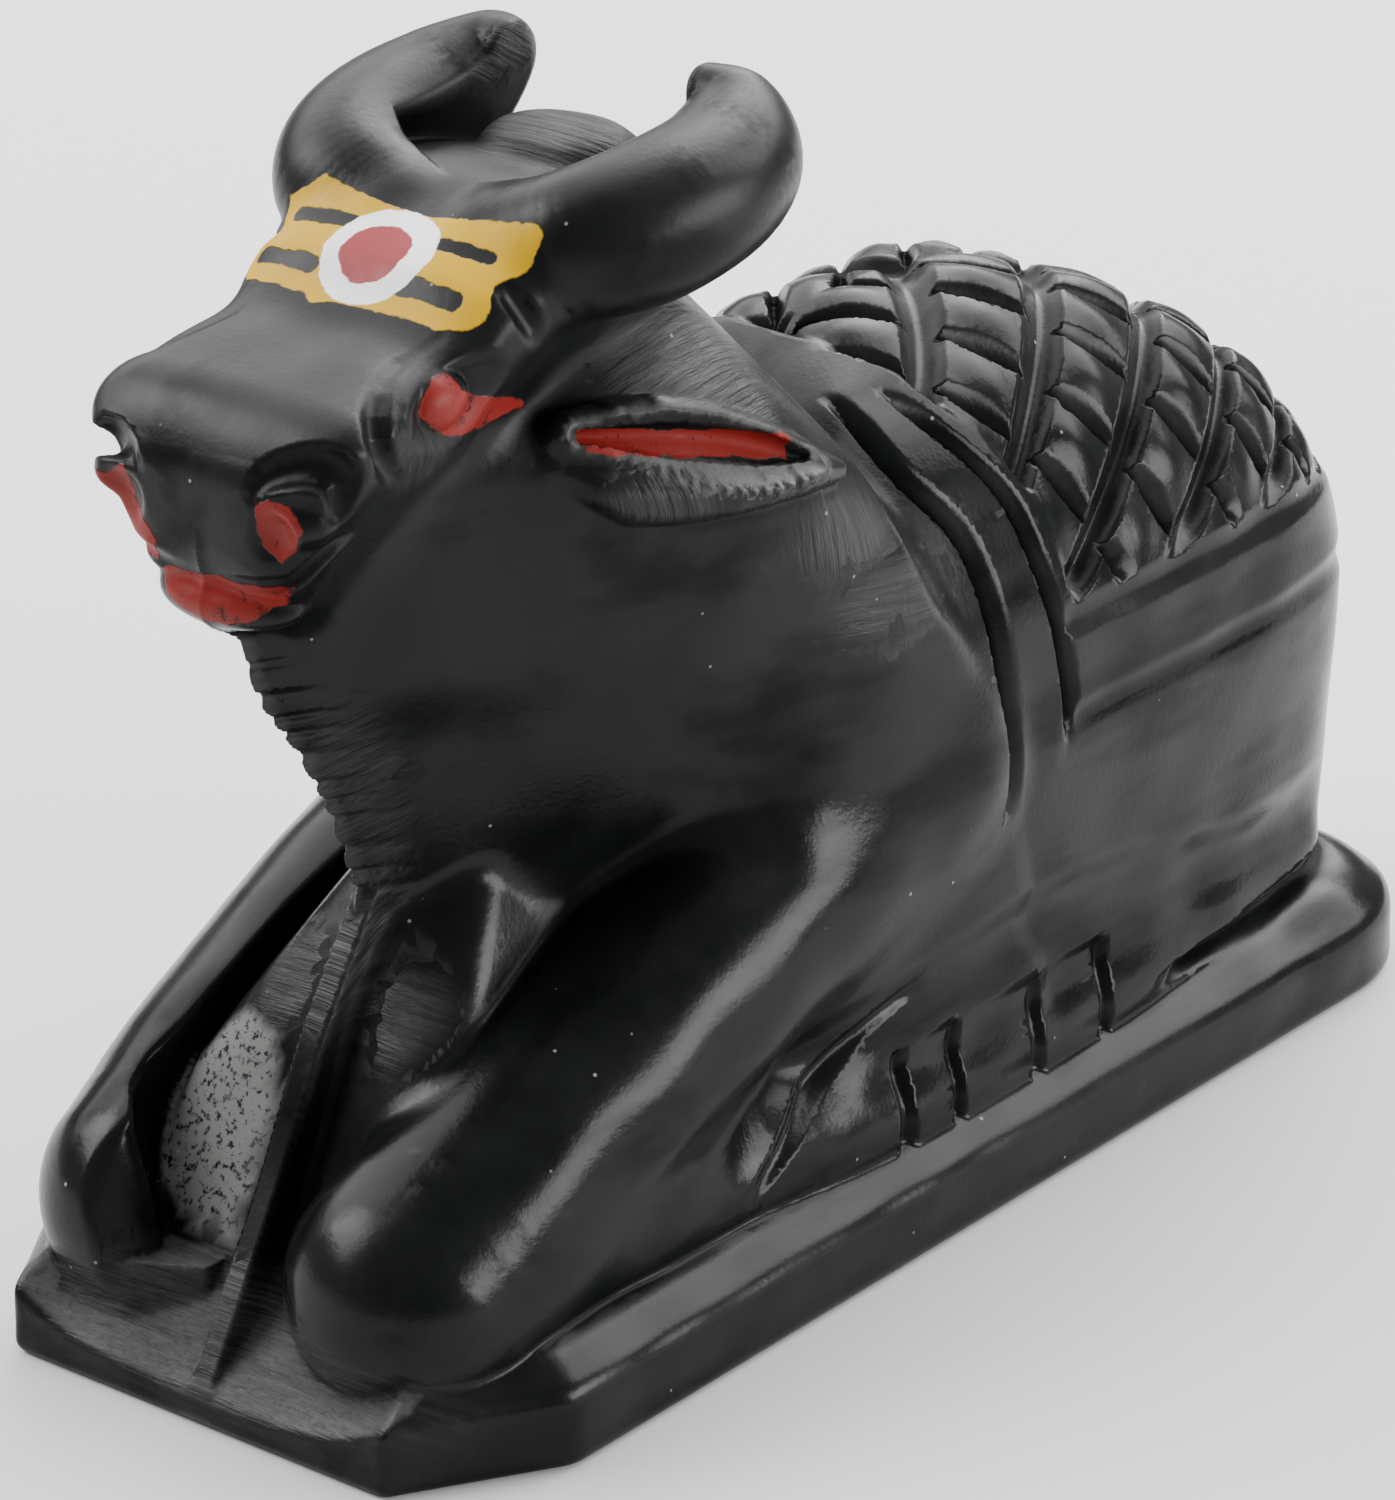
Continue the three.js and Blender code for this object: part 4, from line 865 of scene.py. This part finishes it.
def paint_distances(x, y, z):
    """How far each painted mark is, in millimetres, negative where the paint lies"""
    X = np.abs(x)
    v = (y - MARK_MIDDLE[0]) * math.cos(MARK_TILT) + (z - MARK_MIDDLE[1]) * math.sin(MARK_TILT)
    on_brow = (z > 60 + 0.35 * (y + 36)) & (y > -38.5) & (y < -26) & (X < 10.5)
    plate = outline_distance(x, v, PLATE)
    for (ax, ay), (bx, by), radius in PLATE_SLOTS:
        t = np.clip((x - ax) / (bx - ax), 0, 1)
        plate = np.maximum(plate, radius - length(x - ax - (bx - ax) * t, v - ay - (by - ay) * t))
    eye = np.where((X > EYE_SIDE) & (z < EYE_TOP), outline_distance(y, z, EYE_PAINT), PAINT_NONE)
    nose = np.minimum(outline_distance(x, z, NOSTRIL_PAINT), outline_distance(x, z, FAR_NOSTRIL_PAINT))
    lip = outline_distance(x, z, LIP_PAINT)
    front = np.where(y < NOSE_BACK, np.minimum(nose, lip), PAINT_NONE)
    in_ear = np.where(X > EAR_SIDE, ear_paint(X, y, z), PAINT_NONE)
    return {
        "yellow": np.where(on_brow, plate, PAINT_NONE),
        "white": np.where(on_brow, disc(x, v, *RING), PAINT_NONE),
        "dot": np.where(on_brow, disc(x, v, *DOT), PAINT_NONE),
        "red": np.minimum(np.minimum(eye, front), in_ear)}


# How hollow a place is: (reach in mm, weight) of each look outward. How worn: one look inward.
HOLLOW_LOOKS = ((0.7, 0.3), (1.6, 0.3), (3.5, 0.25), (7, 0.15))
WORN_LOOK = 0.8
SURFACE_TURNS = 2


def carved_stone():
    """The mesh of the carving, with the measures that its material reads at each point"""
    points, squares = polygonise(carving, FIELD_LOW, FIELD_HIGH, CELL)
    points = onto_surface(carving, points, CELL, SURFACE_TURNS)
    mesh = thinned(mesh_of("carving", points, squares), MOST_TRIANGLES)
    for low, high in PAINTED_BOXES:
        refined(mesh, low, high, PAINT_EDGE, PAINT_SPLITS)
    points = np.empty(len(mesh.vertices) * 3, np.float32)
    mesh.vertices.foreach_get("co", points)
    points = points.reshape(-1, 3).astype(float)
    normals = slope_of(carving, points)[1]
    normals /= np.maximum(np.linalg.norm(normals, axis=1, keepdims=True), 1e-6)
    box_low = np.array([-PLINTH_HALF_WIDTH, -PLINTH_HALF_LENGTH, 0])
    box_high = np.array([PLINTH_HALF_WIDTH, PLINTH_HALF_LENGTH, FIGURE_TOP])
    placed = np.clip(points, box_low, box_high) * MM
    mesh.vertices.foreach_set("co", placed.astype(np.float32).ravel())
    hollow = np.zeros(len(points))
    for reach, weight in HOLLOW_LOOKS:
        free = carving(*(points + normals * reach).T)
        hollow += weight * np.clip(1 - free / reach, 0, 1)
    worn = np.clip(1 + carving(*(points - normals * WORN_LOOK).T) / WORN_LOOK, 0, 1)
    measures = {"hollow": hollow, "worn": worn, "pale_and_highlight": pale_and_highlit_places(points, normals)}
    for name, distance in paint_distances(*points.T).items():
        measures[name] = np.clip(distance, -PAINT_NONE, PAINT_NONE)
    measures["filed"], stroke = tool_marks(points, normals)
    for name, values in measures.items():
        measure = mesh.attributes.new(name, "FLOAT", "POINT")
        measure.data.foreach_set("value", values.astype(np.float32))
    strokes = mesh.attributes.new("stroke", "FLOAT_VECTOR", "POINT")
    strokes.data.foreach_set("vector", stroke.astype(np.float32).ravel())
    mesh.polygons.foreach_set("use_smooth", np.ones(len(mesh.polygons), bool))
    mesh.normals_split_custom_set_from_vertices(normals.tolist())
    mesh.update()
    return mesh


# Tool marks: (where they lie, half sizes of that place, direction across the strokes, strength).
# The first number of a place is the distance from the middle plane, on both flanks.
TOOL_MARKS = [
    ((9, -15, 57), (8, 9, 6), (0.83, 0.12, -0.56), 1.0),
    ((16.5, -10, 46), (5, 7, 3.6), (0.1, 0.98, 0.2), 0.5),
    ((17, -6, 40.5), (5, 9, 3), (0.1, 0.1, 0.99), 0.45),
    ((0, -17, 68), (6.5, 6, 3), (0.05, 0.6, 0.8), 0.8),
    ((12.8, -23, 51), (3, 8, 2.2), (0.3, 0.9, 0.3), 0.55),
    ((0, -46.5, 4.4), (19, 6.5, 5), (0.02, 0.5, 0.86), 1.0),
    ((4.5, -36.5, 22), (3, 4, 4), (0.05, 0.45, 0.9), 0.6),
    ((1.5, -38, 30), (3, 6, 14), (0.1, -0.5, 0.86), 0.45),
    ((7.5, -38, 56.5), (2.5, 4, 3), (0.2, 0.95, 0.25), 0.5),
    ((6, -14, 70), (1.7, 5, 5), (0.1, 0.5, 0.86), 0.8)]
REGION_GAP = 9.0


def tool_marks(points, normals):
    """Strength of the file marks at each point, and a place across and along the strokes in mm"""
    spot = points.copy()
    spot[:, 0] = np.abs(points[:, 0])
    facing = normals.copy()
    facing[:, 0] *= np.sign(points[:, 0])
    strength = np.zeros(len(points))
    stroke = np.zeros((len(points), 3))
    for number, (place, half, across, most) in enumerate(TOOL_MARKS):
        reach = length(*((spot[:, k] - place[k]) / half[k] for k in range(3)))
        here = most * (1 - smooth(reach, 0.4, 1))
        if not (here > 0).any():
            continue
        across = np.array(across) / np.linalg.norm(across)
        along_strokes = np.cross(across, facing[here > 0].mean(0))
        along_strokes /= np.linalg.norm(along_strokes)
        better = here > strength
        strength = np.where(better, here, strength)
        place_in_strokes = np.stack(
            [spot @ across, spot @ along_strokes, np.full(len(points), number * REGION_GAP)], 1)
        stroke[better] = place_in_strokes[better]
    return strength, stroke


figure = bpy.data.objects.new("carved_bull", carved_stone())
bpy.context.scene.collection.objects.link(figure)


# Stone and paint, as one material

def node(tree, kind, inputs=(), **settings):
    """A node with its settings; inputs pairs a socket with a value or with the socket that feeds it"""
    made = tree.nodes.new(kind)
    for name, value in settings.items():
        setattr(made, name, value)
    for key, value in dict(inputs).items():
        if isinstance(value, bpy.types.NodeSocket):
            tree.links.new(value, made.inputs[key])
        else:
            made.inputs[key].default_value = value
    return made


def attribute(tree, name):
    return node(tree, "ShaderNodeAttribute", attribute_name=name).outputs["Fac"]


def maths(tree, operation, a, b=0.0):
    return node(tree, "ShaderNodeMath", {0: a, 1: b}, operation=operation).outputs[0]


def ranged(tree, value, low, high, to_low=0.0, to_high=1.0):
    inputs = {"Value": value, "From Min": low, "From Max": high, "To Min": to_low, "To Max": to_high}
    return node(tree, "ShaderNodeMapRange", inputs).outputs["Result"]


def noise(tree, place, scale, detail=3.0, roughness=0.5):
    inputs = {"Vector": place, "Scale": scale, "Detail": detail, "Roughness": roughness}
    return node(tree, "ShaderNodeTexNoise", inputs).outputs[0]


def blend(tree, factor, a, b):
    """Two colours, mixed by a factor"""
    made = node(tree, "ShaderNodeMix", data_type="RGBA")
    for socket, value in zip((made.inputs[0], made.inputs[6], made.inputs[7]), (factor, a, b)):
        if isinstance(value, bpy.types.NodeSocket):
            tree.links.new(value, socket)
        else:
            socket.default_value = value
    return made.outputs[2]


DARK_STONE, GREY_STONE = (0.0032, 0.0036, 0.0037, 1), (0.0062, 0.0067, 0.0068, 1)
STONE_DUST, SCRATCHED_STONE = (0.2, 0.205, 0.2, 1), (0.055, 0.058, 0.055, 1)
PALE_STONE = (0.13, 0.135, 0.128, 1)
YELLOW, WHITE = (0.5, 0.29, 0.0005, 1), (0.86, 0.85, 0.87, 1)
PALE_RED, RED = (0.25, 0.026, 0.03, 1), (0.16, 0.013, 0.01, 1)
STONE_IOR = 1.25

# Scales of the noises, in turns per metre, and how two of them are stretched
GRAIN_SCALE, CLOUD_SCALE, SMEAR_SCALE = 2600.0, 170.0, 160.0
PIT_SCALE, SPECK_SCALE = 2300.0, 380.0
BRUSH_SCALE, PATCH_SCALE = 700.0, 900.0
STROKE_STRETCH, SMEAR_STRETCH = (2.2, 0.16, 1), (1, 0.25, 1)

# Depths of the relief that only the material has, in metres
GRAIN_RELIEF, STROKE_RELIEF, PAINT_RELIEF = 0.00004, 0.0005, 0.00008

# The head is rubbed less bright than the body: heights in metres between which that sets in
SATIN_FROM, SATIN_TO = 0.044, 0.062


def scaled(tree, vector, stretch):
    return node(
        tree, "ShaderNodeVectorMath", {0: vector, 1: stretch}, operation="MULTIPLY").outputs[0]


def raised(tree, strength, distance, height, below=None):
    """Normal of a relief laid over the one below it"""
    inputs = {"Strength": strength, "Distance": distance, "Height": height}
    if below is not None:
        inputs["Normal"] = below
    return node(tree, "ShaderNodeBump", inputs).outputs["Normal"]


def stone_material():
    material = bpy.data.materials.new("black_stone")
    material.use_nodes = True
    tree = material.node_tree
    shader = tree.nodes["Principled BSDF"]
    place = node(tree, "ShaderNodeTexCoord").outputs["Object"]
    hollow, worn, filed, pale_and_highlight = (attribute(tree, name) for name in ("hollow", "worn", "filed", "pale_and_highlight"))
    stroke = node(tree, "ShaderNodeAttribute", attribute_name="stroke").outputs["Vector"]
    strokes = noise(tree, scaled(tree, stroke, STROKE_STRETCH), 1.0, 4.0, 0.65)
    grain = noise(tree, place, GRAIN_SCALE, 2.0, 0.6)
    cloud = noise(tree, place, CLOUD_SCALE, 5.0, 0.6)
    smear = noise(tree, scaled(tree, place, SMEAR_STRETCH), SMEAR_SCALE, 4.0, 0.55)

    # Colour of the stone: clouded, scratched by the file, dusty where unpolished, rubbed on edges, and
    # lightened on the ears' lips as a painted highlight
    colour = blend(tree, ranged(tree, cloud, 0.38, 0.68), DARK_STONE, GREY_STONE)
    scratch = maths(tree, "MULTIPLY", filed, ranged(tree, strokes, 0.4, 0.7, 0.25, 1.0))
    colour = blend(tree, scratch, colour, SCRATCHED_STONE)
    pits = ranged(tree, noise(tree, place, PIT_SCALE, 3.0, 0.6), 0.36, 0.46)
    pits = maths(tree, "MAXIMUM", pits, maths(tree, "SUBTRACT", 1.0, pale_and_highlight))
    # Pale where the stone is unpolished; on the ears' lips this paleness is a painted highlight
    colour = blend(tree, maths(tree, "MULTIPLY", pale_and_highlight, pits), colour, PALE_STONE)
    colour = blend(tree, ranged(tree, worn, 0.35, 0.95, 0.0, 0.35), colour, SCRATCHED_STONE)
    specks = node(tree, "ShaderNodeTexVoronoi", {"Vector": place, "Scale": SPECK_SCALE})
    chance = node(tree, "ShaderNodeSeparateColor", {0: specks.outputs["Color"]}).outputs[0]
    tiny = ranged(tree, specks.outputs["Distance"], 0.055, 0.03)
    speck = maths(tree, "MULTIPLY", ranged(tree, chance, 0.6, 0.601), tiny)
    colour = blend(tree, speck, colour, STONE_DUST)

    # Polish: duller where smeared, clouded, filed, hollow, pale or high on the head
    height = node(tree, "ShaderNodeSeparateXYZ", {0: place}).outputs["Z"]
    gloss = ranged(tree, smear, 0.3, 0.7, 0.14, 0.25)
    for duller in (
            ranged(tree, cloud, 0.35, 0.7, 0.0, 0.08), maths(tree, "MULTIPLY", filed, 0.16),
            ranged(tree, hollow, 0.2, 0.9, 0.0, 0.2), maths(tree, "MULTIPLY", pale_and_highlight, 0.35),
            ranged(tree, height, SATIN_FROM, SATIN_TO, 0.0, 0.13)):
        gloss = maths(tree, "ADD", gloss, duller)
    streaks = ranged(tree, smear, 0.38, 0.5, 0.55, 1.0)
    # Reflection turned down in hollows and cuts: painted shade standing in for the reflections their
    # walls would block; the streaks are the polish's own
    sheen_and_painted_shade = maths(tree, "MULTIPLY", ranged(tree, hollow, 0.2, 0.55, 0.5, 0.05), streaks)

    # Paint, laid on by hand, the red one in a patchy coat
    brush = noise(tree, place, BRUSH_SCALE, 3.0, 0.6)
    wobble = ranged(tree, brush, 0.25, 0.75, -0.16, 0.16)
    patchy = ranged(tree, noise(tree, place, PATCH_SCALE, 4.0, 0.7), 0.3, 0.42)
    coat = None
    for name, paint in (("yellow", YELLOW), ("white", WHITE), ("dot", PALE_RED), ("red", RED)):
        mask = ranged(tree, maths(tree, "ADD", attribute(tree, name), wobble), 0.05, -0.05)
        if name == "red":
            mask = maths(tree, "MULTIPLY", mask, patchy)
        colour = blend(tree, mask, colour, paint)
        coat = mask if coat is None else maths(tree, "MAXIMUM", coat, mask)
    painted = ranged(tree, brush, 0.3, 0.7, 0.34, 0.5)
    gloss = node(tree, "ShaderNodeMix", {0: coat, 2: gloss, 3: painted}).outputs[0]

    # Relief too fine for the mesh
    bare = maths(tree, "SUBTRACT", 1.0, coat)
    rows = maths(tree, "MULTIPLY", maths(tree, "MULTIPLY", strokes, filed), bare)
    relief = raised(tree, 0.35, GRAIN_RELIEF, grain)
    relief = raised(tree, 1.0, STROKE_RELIEF, rows, relief)
    relief = raised(tree, 0.6, PAINT_RELIEF, coat, relief)

    tree.links.new(colour, shader.inputs["Base Color"])
    tree.links.new(gloss, shader.inputs["Roughness"])
    tree.links.new(sheen_and_painted_shade, shader.inputs["Specular IOR Level"])
    tree.links.new(relief, shader.inputs["Normal"])
    shader.inputs["IOR"].default_value = STONE_IOR
    return material


figure.data.materials.append(stone_material())
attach(figure, "root")
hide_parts("nandi_bull")


# Floor, light and camera, in metres
FLOOR_SIZE, FLOOR_COLOUR, FLOOR_ROUGHNESS = 4, (0.62, 0.62, 0.62, 1), 0.9
WORLD_STRENGTH = 0.4


def floor():
    bpy.ops.mesh.primitive_plane_add(size=FLOOR_SIZE, location=(0, 0, 0))
    plane = bpy.context.object
    plane.name = "floor"
    material = bpy.data.materials.new("pale_floor")
    material.use_nodes = True
    shader = material.node_tree.nodes["Principled BSDF"]
    shader.inputs["Base Color"].default_value = FLOOR_COLOUR
    shader.inputs["Roughness"].default_value = FLOOR_ROUGHNESS
    plane.data.materials.append(material)


def direction(turn, rise):
    """Unit vector away from the figure, turned from its front towards its left flank"""
    a, e = math.radians(turn), math.radians(rise)
    return Vector((math.sin(a) * math.cos(e), -math.cos(a) * math.cos(e), math.sin(e)))


def softbox(name, place, target, size, watts):
    light = bpy.data.lights.new(name, "AREA")
    light.shape = "RECTANGLE"
    light.size, light.size_y = size
    light.energy = watts
    lamp = bpy.data.objects.new(name, light)
    lamp.location = place
    lamp.rotation_euler = (Vector(target) - Vector(place)).to_track_quat("-Z", "Y").to_euler()
    bpy.context.scene.collection.objects.link(lamp)


# Camera: angles in degrees, place in mm along its own right, up and back axes, and its focal length
# in pixels of the photo
CAMERA_AZIMUTH, CAMERA_ELEVATION = 38.5, 23.0
CAMERA_PLACE = (-2.83, 22.77, 401.7)
FOCAL_PIXELS, LONG_SIDE_PIXELS = 6500, 1500
SENSOR_WIDTH, CLIP_START = 36, 0.01


def camera():
    a = math.radians(CAMERA_AZIMUTH)
    right = Vector((math.cos(a), math.sin(a), 0))
    back = direction(CAMERA_AZIMUTH, CAMERA_ELEVATION)
    up = back.cross(right)
    data = bpy.data.cameras.new("camera")
    data.sensor_width = SENSOR_WIDTH
    data.sensor_fit = "AUTO"
    data.lens = SENSOR_WIDTH * FOCAL_PIXELS / LONG_SIDE_PIXELS
    data.clip_start = CLIP_START
    eye = bpy.data.objects.new("camera", data)
    r, u, b = CAMERA_PLACE
    turn = Matrix((right, up, back)).transposed().to_4x4()
    eye.matrix_world = Matrix.Translation((right * r + up * u + back * b) * MM) @ turn
    bpy.context.scene.collection.objects.link(eye)
    bpy.context.scene.camera = eye


# Lights: name, turn round the figure from the front and angle above the floor in degrees, distance,
# (width, height) in metres, watts
PANELS = [
    ("window", -115, 52, 0.8, (1.5, 1.1), 18.0),
    ("behind", 178, 43, 0.8, (0.95, 0.6), 13.0),
    ("low_strip", 110, 15, 0.7, (0.5, 0.26), 6.0),
    ("side", -55, 38, 0.8, (0.5, 0.4), 6.5)]
LIT_POINT = (0, 0, 0.03)

floor()
for name, turn, rise, distance, size, watts in PANELS:
    place = Vector(LIT_POINT) + direction(turn, rise) * distance
    softbox(name, place, LIT_POINT, size, watts)
world = bpy.data.worlds.new("studio")
world.use_nodes = True
world.node_tree.nodes["Background"].inputs["Color"].default_value = (1, 1, 1, 1)
world.node_tree.nodes["Background"].inputs["Strength"].default_value = WORLD_STRENGTH
bpy.context.scene.world = world
camera()
